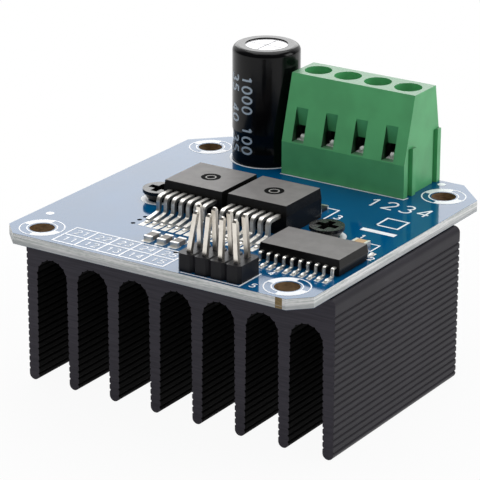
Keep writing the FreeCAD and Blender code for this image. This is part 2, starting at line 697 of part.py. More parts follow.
def make_terminal_housing():
    """The moulded block: a leaning front with wire windows, holes for a screwdriver in the top,
    a shaft for each clamp that is open at the bottom, and two ribs on the right side."""
    body = new_body("terminal_housing")
    profile = new_sketch(body, "YZ_Plane", "(%s - %s) / 2" % (BLOCK_RIGHT, BLOCK_LEFT))
    back_top = "block_depth - block_back_step - block_back_slope"
    add_outline(profile, [
        ("0", "0"),
        ("block_depth", "0"),
        ("block_depth", "block_shoulder"),
        ("block_depth - block_back_step", "block_shoulder + block_step_rise"),
        (back_top, "block_height"),
        ("block_front_slope", "block_height"),
        ("0", "block_sill"),
    ])
    pad(body, profile, "%s + %s" % (BLOCK_LEFT, BLOCK_RIGHT), side="Symmetric")
    proud = BLOCK_RIGHT + " + rib_proud"
    ribs = [("rib_front", "front_rib_height"), ("(block_depth - rib_width)", "back_rib_height")]
    for start, height in ribs:
        rib = new_sketch(body, "XY_Plane")
        add_rectangle(rib, BLOCK_RIGHT, proud, start, start + " + rib_width")
        pad(body, rib, height)
        groove = new_sketch(body, "XY_Plane")
        add_rectangle(groove, BLOCK_RIGHT + " - rib_groove_depth", proud,
                      start + " - rib_groove_width", start)
        pocket(body, groove, height, reverse=True)

    shaft = new_sketch(body, "XY_Plane")
    wide, narrow = "(%s / 2 + cage_gap)" % CAGE_WIDTH, "(contact_width / 2 + cage_gap)"
    step = CAGE_BACK + " + cage_gap"
    add_outline(shaft, [
        ("%s - %s" % (FIRST_POLE, wide), CAGE_FRONT + " - cage_gap"),
        ("%s + %s" % (FIRST_POLE, wide), CAGE_FRONT + " - cage_gap"),
        ("%s + %s" % (FIRST_POLE, wide), step),
        ("%s + %s" % (FIRST_POLE, narrow), step),
        ("%s + %s" % (FIRST_POLE, narrow), STRIP_BACK),
        ("%s - %s" % (FIRST_POLE, narrow), STRIP_BACK),
        ("%s - %s" % (FIRST_POLE, narrow), step),
        ("%s - %s" % (FIRST_POLE, wide), step),
    ])
    shaft_cut = pocket(body, shaft, LEDGE_BOTTOM, reverse=True)
    chamber = new_sketch(body, "XY_Plane")
    add_rectangle(chamber, "%s - %s" % (FIRST_POLE, wide), "%s + %s" % (FIRST_POLE, wide),
                  "front_wall", CAGE_FRONT)
    chamber_cut = pocket(body, chamber, "throat_top", reverse=True)
    driver = new_sketch(body, "XY_Plane", "block_height")
    add_circle(driver, FIRST_POLE, "clamp_y", "clamp_head_radius + driver_gap")
    driver_cut = pocket(body, driver, "block_height - " + LEDGE_TOP)
    shank = new_sketch(body, "XY_Plane", LEDGE_TOP)
    add_circle(shank, FIRST_POLE, "clamp_y", "clamp_shank_radius + clamp_play")
    shank_cut = pocket(body, shank, "clamp_ledge")
    throat = new_sketch(body, "YZ_Plane", FIRST_POLE)
    slope_y = "block_front_slope * (window_top - block_sill) / (block_height - block_sill)"
    add_outline(throat, [
        ("-cage_gap", "window_bottom"),
        (CAGE_FRONT, "window_bottom"),
        (CAGE_FRONT, "throat_top"),
        ("throat_start", "throat_top"),
        (slope_y, "window_top"),
        ("-cage_gap", "window_top"),
    ])
    throat_cut = pocket(body, throat, "window_width", side="Symmetric")
    repeat(body, [shaft_cut, chamber_cut, driver_cut, shank_cut, throat_cut],
           "block_pitch * (block_poles - 1)", "block_poles")
    place_on_board(body, "block_x", BLOCK_FRONT)
    return body


def make_contacts():
    """Four contacts: a flat strip inside each cage, bent down behind it into a solder pin."""
    body = new_body("terminal_contacts")
    profile = new_sketch(body, "YZ_Plane", FIRST_POLE)
    leg_front = "(%s - contact_thickness)" % STRIP_BACK
    add_outline(profile, [
        (CAGE_FRONT + " + cage_gap", "throat_top"),
        (leg_front, "throat_top"),
        (leg_front, "contact_shoulder"),
        (STRIP_BACK, "contact_shoulder"),
        (STRIP_BACK, BLADE_TOP),
        (CAGE_FRONT + " + cage_gap", BLADE_TOP),
    ])
    strip = pad(body, profile, "contact_width", side="Symmetric")
    pin = new_sketch(body, "XY_Plane", "contact_shoulder")
    add_rectangle(pin, FIRST_POLE + " - contact_pin_width / 2", FIRST_POLE + " + contact_pin_width / 2",
                  leg_front, STRIP_BACK)
    post = pad(body, pin, "contact_shoulder + board_thickness + contact_pin_below", reverse=True)
    repeat(body, [strip, post], "block_pitch * (block_poles - 1)", "block_poles")
    place_on_board(body, "block_x", BLOCK_FRONT)
    return body


def make_clamp(number):
    """One clamp: a slotted screw held under its head, and the cage that it lifts."""
    screw = new_body("clamp_screw_%d" % (number + 1))
    profile = new_sketch(screw, "XZ_Plane")
    tip = BLADE_TOP + " + clamp_play"
    add_outline(profile, [
        ("0", tip),
        ("clamp_shank_radius", tip),
        ("clamp_shank_radius", HEAD_BOTTOM),
        ("clamp_head_radius", HEAD_BOTTOM),
        ("clamp_head_radius", HEAD_BOTTOM + " + clamp_head_height"),
        ("0", HEAD_BOTTOM + " + clamp_head_height"),
    ])
    revolve(screw, profile)
    slot = new_sketch(screw, "XY_Plane", HEAD_BOTTOM + " + clamp_head_height")
    add_rectangle(slot, "-clamp_head_radius", "clamp_head_radius",
                  "-clamp_slot_width / 2", "clamp_slot_width / 2")
    pocket(screw, slot, "clamp_slot_depth")

    cage = new_body("clamp_cage_%d" % (number + 1))
    loop = new_sketch(cage, "XZ_Plane")
    outside, inside = CAGE_WIDTH + " / 2", "(clamp_shank_radius + shank_gap)"
    add_rectangle(loop, "-" + outside, outside, JAW_TOP + " - cage_jaw", CROWN_TOP)
    add_rectangle(loop, "-" + inside, inside, JAW_TOP, CROWN_BOTTOM)
    pad(cage, loop, "cage_depth", side="Symmetric")
    lip = new_sketch(cage, "XY_Plane", JAW_TOP)
    add_rectangle(lip, "-lip_width / 2", "lip_width / 2",
                  "front_wall + clamp_play - clamp_y", "-cage_depth / 2")
    pad(cage, lip, "cage_jaw", reverse=True)
    nose = cage.newObject("PartDesign::AdditiveSphere", "Nose")
    bind(nose, Radius="nose_radius")
    nose.AttachmentSupport = [(origin_part(cage, "XY_Plane"), "")]
    nose.MapMode = "FlatFace"
    nose.setExpression("AttachmentOffset.Base.y", formula("front_wall + clamp_play + nose_inset - clamp_y"))
    nose.setExpression("AttachmentOffset.Base.z", formula(JAW_TOP + " + nose_rise"))
    doc.recompute()
    thread = new_sketch(cage, "XY_Plane", CROWN_TOP)
    add_circle(thread, "0", "0", "clamp_shank_radius + thread_play")
    pocket(cage, thread, "cage_crown")
    for piece in (screw, cage):
        place_on_board(piece, "block_x + " + pole_x(number), BLOCK_FRONT + " + clamp_y")
    return [screw, cage]


def rounded_run(points, radii):
    """Straight edges through points, with an arc of its own radius at each inner point."""
    edges = []
    here = points[0]
    for before, corner, after, radius in zip(points, points[1:], points[2:], radii):
        arriving = (corner - before).normalize()
        leaving = (after - corner).normalize()
        half_turn = arriving.getAngle(leaving) / 2
        start = corner - arriving * radius * math.tan(half_turn)
        end = corner + leaving * radius * math.tan(half_turn)
        crown = corner + (leaving - arriving).normalize() * radius * (1 / math.cos(half_turn) - 1)
        edges += straight_edges([here, start])
        edges.append(Part.Arc(start, crown, end).toShape())
        here = end
    return edges + straight_edges([here, points[-1]])


def bent_strip(points, bend, thickness, width):
    """A flat strip bent along points in the plane of Y and Z, with round bends, of even width.

    Its two sides run beside the points at half the thickness, with concentric bends.
    """
    spots = [FreeCAD.Vector(0, y, z) for y, z in points]
    normals = []
    for start, end in zip(spots, spots[1:]):
        normals.append(FreeCAD.Vector(0, start.z - end.z, end.y - start.y).normalize())
    turns = [before.y * after.z - before.z * after.y for before, after in zip(normals, normals[1:])]
    edges, corners = [], []
    for offset in (thickness / 2, -thickness / 2):
        side = [spots[0] + normals[0] * offset]
        for spot, before, after in zip(spots[1:], normals, normals[1:]):
            side.append(spot + (before + after) * (offset / (1 + before.dot(after))))
        side.append(spots[-1] + normals[-1] * offset)
        radii = [bend - math.copysign(offset, offset * turn) for turn in turns]
        edges += rounded_run(side, radii)
        corners.append(side)
    for end in (0, -1):
        edges += straight_edges([corners[0][end], corners[1][end]])
    strip = Part.Face(Part.Wire(Part.__sortEdges__(edges))).extrude(FreeCAD.Vector(width, 0, 0))
    strip.translate(FreeCAD.Vector(-width / 2, 0, 0))
    return strip


def row_of(shape, count, pitch):
    """Copies of a shape in a centred row along X."""
    copies = []
    for number in range(count):
        copy = shape.copy()
        copy.translate(FreeCAD.Vector((number - (count - 1) / 2) * pitch, 0, 0))
        copies.append(copy)
    return copies


def make_power_chip(side, chip_x):
    """One power chip: the moulded body, the heat tab under it and its seven leads."""
    body = new_body(side + "_chip_body")
    profile = new_sketch(body, "XY_Plane", "chip_parting")
    add_rectangle(profile, "-chip_width / 2", "chip_width / 2", "-chip_depth / 2", "chip_depth / 2")
    pad(body, profile, "chip_height - chip_parting", draft="-chip_draft_top")
    pad(body, profile, "chip_parting", reverse=True, draft="-chip_draft_base")
    mark = new_sketch(body, "XY_Plane", "chip_height")
    add_circle(mark, "0", "0", "chip_mark_radius")
    pocket(body, mark, "chip_mark_depth")
    under = new_sketch(body, "XY_Plane")
    tab_front = "(chip_depth / 2 - tab_inside)"
    add_rectangle(under, "-tab_width / 2", "tab_width / 2", tab_front, "chip_depth / 2")
    pocket(body, under, "tab_thickness", reverse=True)
    first_lead = "(-chip_lead_pitch * (chip_lead_count - 1) / 2)"
    seat = new_sketch(body, "XY_Plane", "chip_parting - chip_lead_thickness / 2")
    add_rectangle(seat, first_lead + " - chip_lead_width / 2", first_lead + " + chip_lead_width / 2",
                  "-chip_depth / 2", "-chip_depth / 2 + chip_lead_root")
    seat_cut = pocket(body, seat, "chip_lead_thickness", reverse=True)
    repeat(body, [seat_cut], "chip_lead_pitch * (chip_lead_count - 1)", "chip_lead_count")

    tab = new_body(side + "_chip_tab")
    plate = new_sketch(tab, "XY_Plane")
    add_rectangle(plate, "-tab_width / 2", "tab_width / 2",
                  tab_front, "chip_depth / 2 + tab_outside")
    pad(tab, plate, "tab_thickness")

    front = value("chip_depth / 2")
    upright = -front - value("chip_lead_reach")
    route = [(-front + value("chip_lead_root"), value("chip_parting")),
             (upright, value("chip_parting")),
             (upright, value("chip_lead_heel")),
             (upright - value("chip_foot_length"), value("chip_foot_height"))]
    lead = bent_strip(route, value("chip_bend"), value("chip_lead_thickness"), value("chip_lead_width"))
    row = row_of(lead, int(value("chip_lead_count")), value("chip_lead_pitch"))
    leads = new_feature(side + "_chip_leads", Part.makeCompound(row))
    pieces = [body, tab, leads]
    for piece in pieces:
        place_on_board(piece, chip_x, CHIP_LINE)
    return pieces


def make_logic_chip():
    """The logic chip: a low moulded body with ten gull-wing leads on each long side."""
    body = new_body("logic_chip_body")
    profile = new_sketch(body, "XY_Plane", "logic_parting")
    add_rectangle(profile, "-logic_width / 2", "logic_width / 2", "-logic_depth / 2", "logic_depth / 2")
    pad(body, profile, "logic_height - logic_parting", draft="-logic_draft")
    pad(body, profile, "logic_parting - logic_standoff", reverse=True, draft="-logic_draft")
    first_lead = "(-logic_lead_pitch * (logic_lead_count - 1) / 2)"
    left, right = first_lead + " - logic_lead_width / 2", first_lead + " + logic_lead_width / 2"
    seat = new_sketch(body, "XY_Plane", "logic_parting - logic_lead_thickness / 2")
    add_rectangle(seat, left, right, "-logic_depth / 2", "-logic_depth / 2 + logic_lead_root")
    add_rectangle(seat, left, right, "logic_depth / 2 - logic_lead_root", "logic_depth / 2")
    seat_cut = pocket(body, seat, "logic_lead_thickness", reverse=True)
    repeat(body, [seat_cut], "logic_lead_pitch * (logic_lead_count - 1)", "logic_lead_count")

    side = value("logic_depth / 2")
    upright = -side - value("logic_lead_reach")
    rest = value("logic_lead_thickness / 2")
    route = [(-side + value("logic_lead_root"), value("logic_parting")),
             (upright, value("logic_parting")),
             (upright, rest),
             (upright - value("logic_foot_length"), rest)]
    lead = bent_strip(route, value("logic_bend"), value("logic_lead_thickness"), value("logic_lead_width"))
    row = row_of(lead, int(value("logic_lead_count")), value("logic_lead_pitch"))
    other_row = []
    for copy in row:
        turned = copy.copy()
        turned.rotate(FreeCAD.Vector(0, 0, 0), FreeCAD.Vector(0, 0, 1), 180)
        other_row.append(turned)
    leads = new_feature("logic_chip_leads", Part.makeCompound(row + other_row))
    for piece in (body, leads):
        place_on_board(piece, "logic_x", LOGIC_LINE)
    return [body, leads]


def square(x, y, z, width):
    """A square wire around a point, level with the board."""
    half = width / 2
    corners = [(-half, -half), (half, -half), (half, half), (-half, half), (-half, -half)]
    return Part.makePolygon([FreeCAD.Vector(x + across, y + along, z) for across, along in corners])


def make_header():
    """The pin header: a notched plastic base and two rows of square pins, some of them bent."""
    base = new_body("header_base")
    half_length, half_width = "(header_columns * header_pitch / 2)", "header_pitch"
    columns = int(value("header_columns"))
    seams = ["((%d - header_columns / 2) * header_pitch)" % seam for seam in range(1, columns)]
    near, far = "-%s + header_notch" % half_length, half_length + " - header_notch"
    low, high = "-%s + header_notch" % half_width, half_width + " - header_notch"
    outline = [("-" + half_length, low), (near, "-" + half_width)]
    for seam in seams:
        outline += [(seam + " - header_notch", "-" + half_width),
                    (seam, low),
                    (seam + " + header_notch", "-" + half_width)]
    outline += [(far, "-" + half_width), (half_length, low), (half_length, high), (far, half_width)]
    for seam in reversed(seams):
        outline += [(seam + " + header_notch", half_width),
                    (seam, high),
                    (seam + " - header_notch", half_width)]
    outline += [(near, half_width), ("-" + half_length, high)]
    profile = new_sketch(base, "XY_Plane")
    add_outline(profile, outline)
    for column, row, x, y in header_pin_places():
        reach = "(pin_width / 2 + pin_play)"
        add_rectangle(profile, "%s - %s" % (x, reach), "%s + %s" % (x, reach),
                      "%s - %s" % (y, reach), "%s + %s" % (y, reach))
    pad(base, profile, "header_height")
    groove = new_sketch(base, "XZ_Plane")
    add_outline(groove, [
        (seams[0] + " - header_groove", "header_height"),
        (seams[0], "header_height - header_groove"),
        (seams[0] + " + header_groove", "header_height"),
    ])
    groove_cut = pocket(base, groove, "2 * header_pitch", side="Symmetric")
    repeat(base, [groove_cut], "header_pitch * (header_columns - 2)", "header_columns - 1")

    bottom = value("-(board_thickness + pin_below)")
    level = value("header_height")
    tip = value("header_height + pin_above")
    width, point = value("pin_width"), value("pin_point")
    pins = []
    for column, row, x, y in header_pin_places():
        x, y = value(x), value(y)
        lean = PIN_LEANS[row % len(PIN_LEANS)][column % len(PIN_LEANS[0])]
        neck = x + lean * (1 - point / (tip - level))
        rings = [square(x, y, bottom, width / 2), square(x, y, bottom + point, width),
                 square(x, y, level, width), square(neck, y, tip - point, width),
                 square(x + lean, y, tip, width / 2)]
        pins.append(Part.makeLoft(rings, True, True))
    pins = new_feature("header_pins", Part.makeCompound(pins))
    for piece in (base, pins):
        place_on_board(piece, "header_x", HEADER_LINE)
    return [base, pins]


def small_part(name, x, y, height, along_x=False):
    """One small part as three boxes: its ceramic body, then its two metal ends."""
    stretches = [
        ("small_cap - small_length / 2", "small_length - 2 * small_cap", "0"),
        ("-small_length / 2", "small_cap", "small_cap_proud"),
        ("small_length / 2 - small_cap", "small_cap", "small_cap_proud"),
    ]
    boxes = []
    for start, length, proud in stretches:
        box = doc.addObject("Part::Box", name)
        side = "-(small_width / 2 + %s)" % proud
        width = "small_width + 2 * " + proud
        if along_x:
            bind(box, Length=length, Width=width)
            place(box, "%s + %s" % (x, start), "%s + %s" % (y, side))
        else:
            bind(box, Length=width, Width=length)
            place(box, "%s + %s" % (x, side), "%s + %s" % (y, start))
        bind(box, Height="%s + %s" % (height, proud))
        boxes.append(box)
    return boxes[0], boxes[1:]


def compound(label, items):
    """Several solids that are one node."""
    group = doc.addObject("Part::Compound", "Group_" + label)
    group.Label = label
    group.Links = items
    place_on_board(group)
    return group


def make_small_parts():
    """Three capacitors in a row, one behind the logic chip, and a resistor behind a power chip."""
    row, all_ends = [], []
    for number in range(int(value("row_count"))):
        x = "row_first + %d * row_pitch" % number
        core, ends = small_part("row_part", x, ROW_LINE, "small_height")
        row.append(core)
        all_ends += ends
    side, ends = small_part("side_part", "side_part_x", "-board_depth / 2 + side_part_setback",
                            "side_height", along_x=True)
    all_ends += ends
    corner, ends = small_part("corner_part", "corner_part_x", "-board_depth / 2 + corner_part_setback",
                              "corner_height")
    all_ends += ends
    return [compound("front_capacitors", row),
            compound("side_capacitor", [side]),
            compound("corner_resistor", [corner]),
            compound("small_part_ends", all_ends)]


def make_solder_joints(groups):
    """The cones of solder on the underside, around every pin that comes through the board.

    groups pairs each set of pins with the radii of its cones, at the board and at the tip.
    """
    doc.recompute()
    top, height = value(BOARD_BOTTOM), value("joint_height")
    cones = []
    for item, base_radius, tip_radius in groups:
        for pin in item.Shape.Solids:
            section = pin.slice(FreeCAD.Vector(0, 0, 1), top - height / 2)
            middle = Part.Face(section[0]).CenterOfMass
            foot = FreeCAD.Vector(middle.x, middle.y, top - height)
            cones.append(Part.makeCone(value(tip_radius), value(base_radius), height, foot).cut(pin))
    return new_feature("solder_joints", Part.makeCompound(cones))


parts = [make_heatsink(), make_thermal_pad(), make_board(), make_heatsink_screws()]
capacitor = make_capacitor()
contacts = make_contacts()
header = make_header()
parts += capacitor + [make_terminal_housing(), contacts] + header
for number in range(int(value("block_poles"))):
    parts += make_clamp(number)
parts += make_power_chip("left", "chip_left")
parts += make_power_chip("right", "chip_right")
parts += make_logic_chip()
parts += make_small_parts()
parts += [make_solder_joints([
    (header[-1], "joint_radius", "joint_top"),
    (capacitor[-1], "joint_radius", "joint_top"),
    (contacts, "big_joint_radius", "big_joint_top"),
])]
doc.recompute()

for item in doc.Objects:
    if "Invalid" in item.State or "Error" in item.State:
        raise RuntimeError("%s failed: %s" % (item.Label, item.State))
for item in parts:
    if item.Shape.isNull() or not item.Shape.isValid() or not item.Shape.Solids:
        raise RuntimeError(item.Label + " has no valid solid")

os.makedirs("parts", exist_ok=True)
for item in parts:
    item.Shape.exportStep("parts/%s.step" % item.Label)
    box = item.Shape.BoundBox
    print("%-20s solids %2d  volume %9.2f  x %7.2f %7.2f  y %7.2f %7.2f  z %6.2f %6.2f" % (
        item.Label, len(item.Shape.Solids), item.Shape.Volume,
        box.XMin, box.XMax, box.YMin, box.YMax, box.ZMin, box.ZMax))
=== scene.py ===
import math

import bmesh
import bpy
import numpy as np
from bpy.props import FloatProperty, FloatVectorProperty, PointerProperty
from mathutils import Matrix, Vector


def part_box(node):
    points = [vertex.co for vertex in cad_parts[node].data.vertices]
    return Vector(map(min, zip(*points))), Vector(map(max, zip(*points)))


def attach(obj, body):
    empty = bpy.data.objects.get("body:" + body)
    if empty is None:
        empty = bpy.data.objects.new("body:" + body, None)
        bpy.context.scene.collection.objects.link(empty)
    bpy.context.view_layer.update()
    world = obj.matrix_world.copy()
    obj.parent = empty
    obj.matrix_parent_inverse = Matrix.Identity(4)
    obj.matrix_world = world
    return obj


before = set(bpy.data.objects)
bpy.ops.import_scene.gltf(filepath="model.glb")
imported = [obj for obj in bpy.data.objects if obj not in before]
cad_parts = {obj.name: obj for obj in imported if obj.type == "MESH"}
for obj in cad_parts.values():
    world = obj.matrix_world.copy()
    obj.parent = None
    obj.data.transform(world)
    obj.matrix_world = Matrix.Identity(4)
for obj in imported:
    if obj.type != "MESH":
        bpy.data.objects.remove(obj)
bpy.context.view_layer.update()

bl_info = {
    "name": "Motor driver module",
    "version": (1, 0, 0),
    "blender": (4, 5, 0),
    "location": "3D View > Sidebar > Driver",
    "description": "Finishes, printed lines, solder and studio of a motor driver module",
    "category": "Object",
}

MM = 0.001
ROOT = "module"
POLES = 4
POWER_LEADS, LOGIC_LEADS = 7, 10


def linear(red, green, blue):
    """A colour given as 0 to 255 on the screen, as the linear values that shaders use."""
    shares = np.array([red, green, blue]) / 255
    return tuple(np.where(shares <= 0.04045, shares / 12.92, ((shares + 0.055) / 1.055) ** 2.4))


def span(node):
    """Lowest and highest corner of a CAD node in millimetres."""
    low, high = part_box(node)
    return np.array(low) / MM, np.array(high) / MM


BOARD_LOW, BOARD_HIGH = span("circuit_board")
BOARD_MIDDLE = (BOARD_LOW + BOARD_HIGH) / 2
BOARD_TOP = BOARD_HIGH[2]
BOARD_BOTTOM = BOARD_LOW[2]

# The corner holes from the board's middle, how far their brown walls reach, and the half sizes of
# the area in which a cut face can only be the wall of a small drilled hole.
HOLE_X, HOLE_Y, HOLE_SHIFT = 20.3, 21.2, -1.0
BORE_REACH = 2.2
DRILLED_X, DRILLED_Y = 20.0, 24.0

# Brown stains on the board's cut edge: x, y and reach.
EDGE_MARKS = ((21.1, -26.1, 0.55), (24.4, -22.8, 0.4))


def add_node(tree, kind, settings, inputs, output=0):
    """Adds a node: its settings first, then the values or links of its sockets."""
    made = tree.nodes.new(kind)
    for name, amount in settings.items():
        setattr(made, name, amount)
    for name, amount in inputs.items():
        if isinstance(amount, bpy.types.NodeSocket):
            tree.links.new(amount, made.inputs[name])
        else:
            made.inputs[name].default_value = amount
    return None if output is None else made.outputs[output]


class Signal:
    """An output of a shader node. Arithmetic on it adds Math nodes."""

    def __init__(self, paint, socket):
        self.paint = paint
        self.socket = socket

    def math(self, operation, *others):
        inputs = dict(enumerate((self,) + others))
        return self.paint.node("ShaderNodeMath", {"operation": operation}, inputs)

    def __add__(self, other):
        return self.math("ADD", other)

    def __sub__(self, other):
        return self.math("SUBTRACT", other)

    def __mul__(self, other):
        return self.math("MULTIPLY", other)

    def __rsub__(self, other):
        inputs = {0: other, 1: self}
        return self.paint.node("ShaderNodeMath", {"operation": "SUBTRACT"}, inputs)

    __radd__ = __add__

    def above(self, limit):
        """1 where the signal is over the limit, else 0."""
        return self.math("GREATER_THAN", limit)

    def below(self, limit):
        """1 where the signal is under the limit, else 0."""
        return self.math("LESS_THAN", limit)

    def ramp(self, start, end):
        """Rises smoothly from 0 at start to 1 at end."""
        inputs = {"Value": self, "From Min": start, "From Max": end}
        return self.paint.node("ShaderNodeMapRange", {"interpolation_type": "SMOOTHSTEP"}, inputs)


class Paint:
    """A material round one Principled shader, whose steady values sit on the shader's own sockets."""

    def __init__(self, name, steady):
        self.material = bpy.data.materials.new(name)
        self.material.use_nodes = True
        self.tree = self.material.node_tree
        self.tree.nodes.clear()
        output = self.tree.nodes.new("ShaderNodeOutputMaterial")
        self.shader = self.tree.nodes.new("ShaderNodeBsdfPrincipled")
        self.tree.links.new(self.shader.outputs["BSDF"], output.inputs["Surface"])
        for socket, amount in steady.items():
            if socket == "Base Color":
                amount = (*amount, 1.0)
            self.shader.inputs[socket].default_value = amount

    def node(self, kind, settings, inputs, output=0):
        """Adds any other node, whose inputs may be signals, and gives one of its outputs."""
        plain = {name: amount.socket if isinstance(amount, Signal) else amount
                 for name, amount in inputs.items()}
        return Signal(self, add_node(self.tree, kind, settings, plain, output))

    def feed(self, socket, signal):
        """Links a signal to one of the shader's sockets."""
        self.tree.links.new(signal.socket, self.shader.inputs[socket])

    def place(self):
        """Where a point lies on the object, as a vector in millimetres."""
        spot = self.node("ShaderNodeTexCoord", {}, {}, "Object")
        return self.node("ShaderNodeVectorMath", {"operation": "SCALE"}, {0: spot, "Scale": 1 / MM})

    def along(self, axis, place=None):
        """One coordinate of a point in millimetres."""
        return self.node("ShaderNodeSeparateXYZ", {}, {0: place or self.place()}, "XYZ".index(axis))

    def facing(self, axis):
        """How far the surface faces along an axis of the object, from -1 to 1."""
        spot = self.node("ShaderNodeTexCoord", {}, {}, "Normal")
        return self.node("ShaderNodeSeparateXYZ", {}, {0: spot}, "XYZ".index(axis))

    def noise(self, size, stretch=(1, 1, 1), detail=2.0):
        """Cloudy noise from 0 to 1 with spots of a size in millimetres, longer along stretched axes."""
        shares = tuple(1 / (size * share) for share in stretch)
        spot = self.node("ShaderNodeVectorMath", {"operation": "MULTIPLY"}, {0: self.place(), 1: shares})
        inputs = {"Vector": spot, "Scale": 1.0, "Detail": detail, "Roughness": 0.5}
        return self.node("ShaderNodeTexNoise", {}, inputs)

    def blend(self, factor, first, second):
        """Goes from the first colour to the second as the factor goes from 0 to 1."""
        first, second = (colour if isinstance(colour, Signal) else (*colour, 1.0)
                         for colour in (first, second))
        # Sockets 0, 6, 7 and output 2 are the factor, the two colours and the mixed colour.
        return self.node("ShaderNodeMix", {"data_type": "RGBA"}, {0: factor, 6: first, 7: second}, 2)

    def cloudy(self, colour, size=4.0, low=0.93, high=1.07):
        """The colour in faint clouds, from a low to a high share of it."""
        cloud = self.noise(size).ramp(0.3, 0.7)
        return self.blend(cloud, [c * low for c in colour], [min(1, c * high) for c in colour])

    def grainy(self, roughness, grain, depth):
        """A fine grain that shows both in the roughness and in the surface."""
        grains = self.noise(grain, detail=3)
        self.feed("Roughness", roughness - 0.05 + grains * 0.1)
        self.relief(grains, depth)

    def relief(self, height, depth):
        """Raises the surface by the height signal times a depth in millimetres."""
        inputs = {"Height": height, "Distance": depth * MM, "Strength": 1.0}
        self.feed("Normal", self.node("ShaderNodeBump", {}, inputs))


def dress(paint, *nodes):
    """Gives CAD nodes a finish."""
    for node in nodes:
        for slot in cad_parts[node].material_slots:
            slot.material = paint.material


class Batch:
    """Collects closed surfaces, given in millimetres, that become one mesh."""

    def __init__(self):
        self.points = []
        self.faces = []
        self.count = 0

    def add(self, points, quads, caps=()):
        """Adds points, an array of quads between them, and caps with any number of corners."""
        points = np.asarray(points, float).reshape(-1, 3)
        self.points.append(points)
        self.faces += (quads + self.count).tolist()
        self.faces += [(cap + self.count).tolist() for cap in caps]
        self.count += len(points)

    def tube(self, rings):
        """A closed skin over rings of points: an array of rings by points by 3, capped at its ends."""
        rings = np.asarray(rings, float)
        rows, columns = rings.shape[:2]
        row, column = np.meshgrid(np.arange(rows - 1), np.arange(columns), indexing="ij")
        after = (column + 1) % columns
        quads = np.stack([row * columns + column, row * columns + after,
                          (row + 1) * columns + after, (row + 1) * columns + column], axis=-1)
        caps = np.arange(columns)[::-1], np.arange((rows - 1) * columns, rows * columns)
        self.add(rings, quads.reshape(-1, 4), caps)

    def bar(self, path, up, width, height):
        """A flat bar along a path: each corner is path + side * width * a + up * height * b, where a is
        -1/2 or 1/2, b is 0 or 1, and side is the path's direction crossed with up."""
        path = np.asarray(path, float)
        up = np.broadcast_to(np.asarray(up, float), path.shape)
        ahead = np.gradient(path, axis=0)
        side = np.cross(ahead, up)
        side /= np.linalg.norm(side, axis=1)[:, None]
        corners = [(-0.5, 0), (0.5, 0), (0.5, 1), (-0.5, 1)]
        rings = [path + side * width * across + up * height * lift for across, lift in corners]
        self.tube(np.stack(rings, axis=1))

    def lathe(self, centre, profile, turns=48):
        """A profile of radius r and height h carried round an upright axis: x = r cos t, y = r sin t and
        z = h from the centre, capped at both ends."""
        profile = np.asarray(profile, float)
        angle = np.arange(turns) * 2 * math.pi / turns
        radius, height = profile[:, 0:1], profile[:, 1:2]
        rings = np.stack([centre[0] + radius * np.cos(angle), centre[1] + radius * np.sin(angle),
                          centre[2] + height + 0 * angle], axis=-1)
        self.tube(rings)

    def ring(self, centre, profile, turns=48):
        """A closed profile carried round an upright axis, as a washer is: x = r cos t, y = r sin t and
        z = h from the centre."""
        profile = np.asarray(profile, float)
        angle = np.arange(turns) * 2 * math.pi / turns
        rings = np.stack([centre[0] + profile[:, 0] * np.cos(angle)[:, None],
                          centre[1] + profile[:, 0] * np.sin(angle)[:, None],
                          centre[2] + profile[:, 1] + 0 * angle[:, None]], axis=-1)
        rows, columns = rings.shape[:2]
        row, column = np.meshgrid(np.arange(rows), np.arange(columns), indexing="ij")
        ahead, after = (row + 1) % rows, (column + 1) % columns
        quads = np.stack([row * columns + column, ahead * columns + column,
                          ahead * columns + after, row * columns + after], axis=-1)
        self.add(rings, quads.reshape(-1, 4))

    def mound(self, centre, half_x, half_y, height, turns=14, rows=6):
        """Half an ellipsoid that stands on a flat base: rings shrink with the cosine of their rise."""
        rise = np.linspace(0, 0.46 * math.pi, rows)
        angle = np.arange(turns) * 2 * math.pi / turns
        share = np.cos(rise)[:, None]
        rings = np.stack([centre[0] + half_x * share * np.cos(angle),
                          centre[1] + half_y * share * np.sin(angle),
                          centre[2] + height * np.sin(rise)[:, None] + 0 * angle], axis=-1)
        self.tube(rings)

    def slab(self, low, high):
        """A flat block between two corners."""
        (x0, y0, z0), (x1, y1, z1) = low, high
        outline = np.array([(x0, y0), (x1, y0), (x1, y1), (x0, y1)])
        self.tube([np.column_stack([outline, np.full(4, z)]) for z in (z0, z1)])

    def piece(self, name, paint, smooth=False):
        """Makes the mesh, turns its faces out and lets it ride on the module."""
        mesh = bpy.data.meshes.new(name)
        mesh.from_pydata((np.concatenate(self.points) * MM).tolist(), [], self.faces)
        shape = bmesh.new()
        shape.from_mesh(mesh)
        bmesh.ops.recalc_face_normals(shape, faces=shape.faces)
        shape.to_mesh(mesh)
        shape.free()
        if smooth:
            mesh.shade_smooth()
        made = bpy.data.objects.new(name, mesh)
        bpy.context.collection.objects.link(made)
        mesh.materials.append(paint.material)
        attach(made, ROOT)


def arc_path(centre, radius, start, end, steps=24):
    """Points on a level arc: angles in degrees, from the right towards the back."""
    angle = np.radians(np.linspace(start, end, steps))
    return np.stack([centre[0] + radius * np.cos(angle), centre[1] + radius * np.sin(angle),
                     centre[2] + 0 * angle], axis=-1)


def on_board(x, y):
    """A point on top of the board, at x and y from the board's middle."""
    return np.array([BOARD_MIDDLE[0] + x, BOARD_MIDDLE[1] + y, BOARD_TOP])


UP = (0, 0, 1)

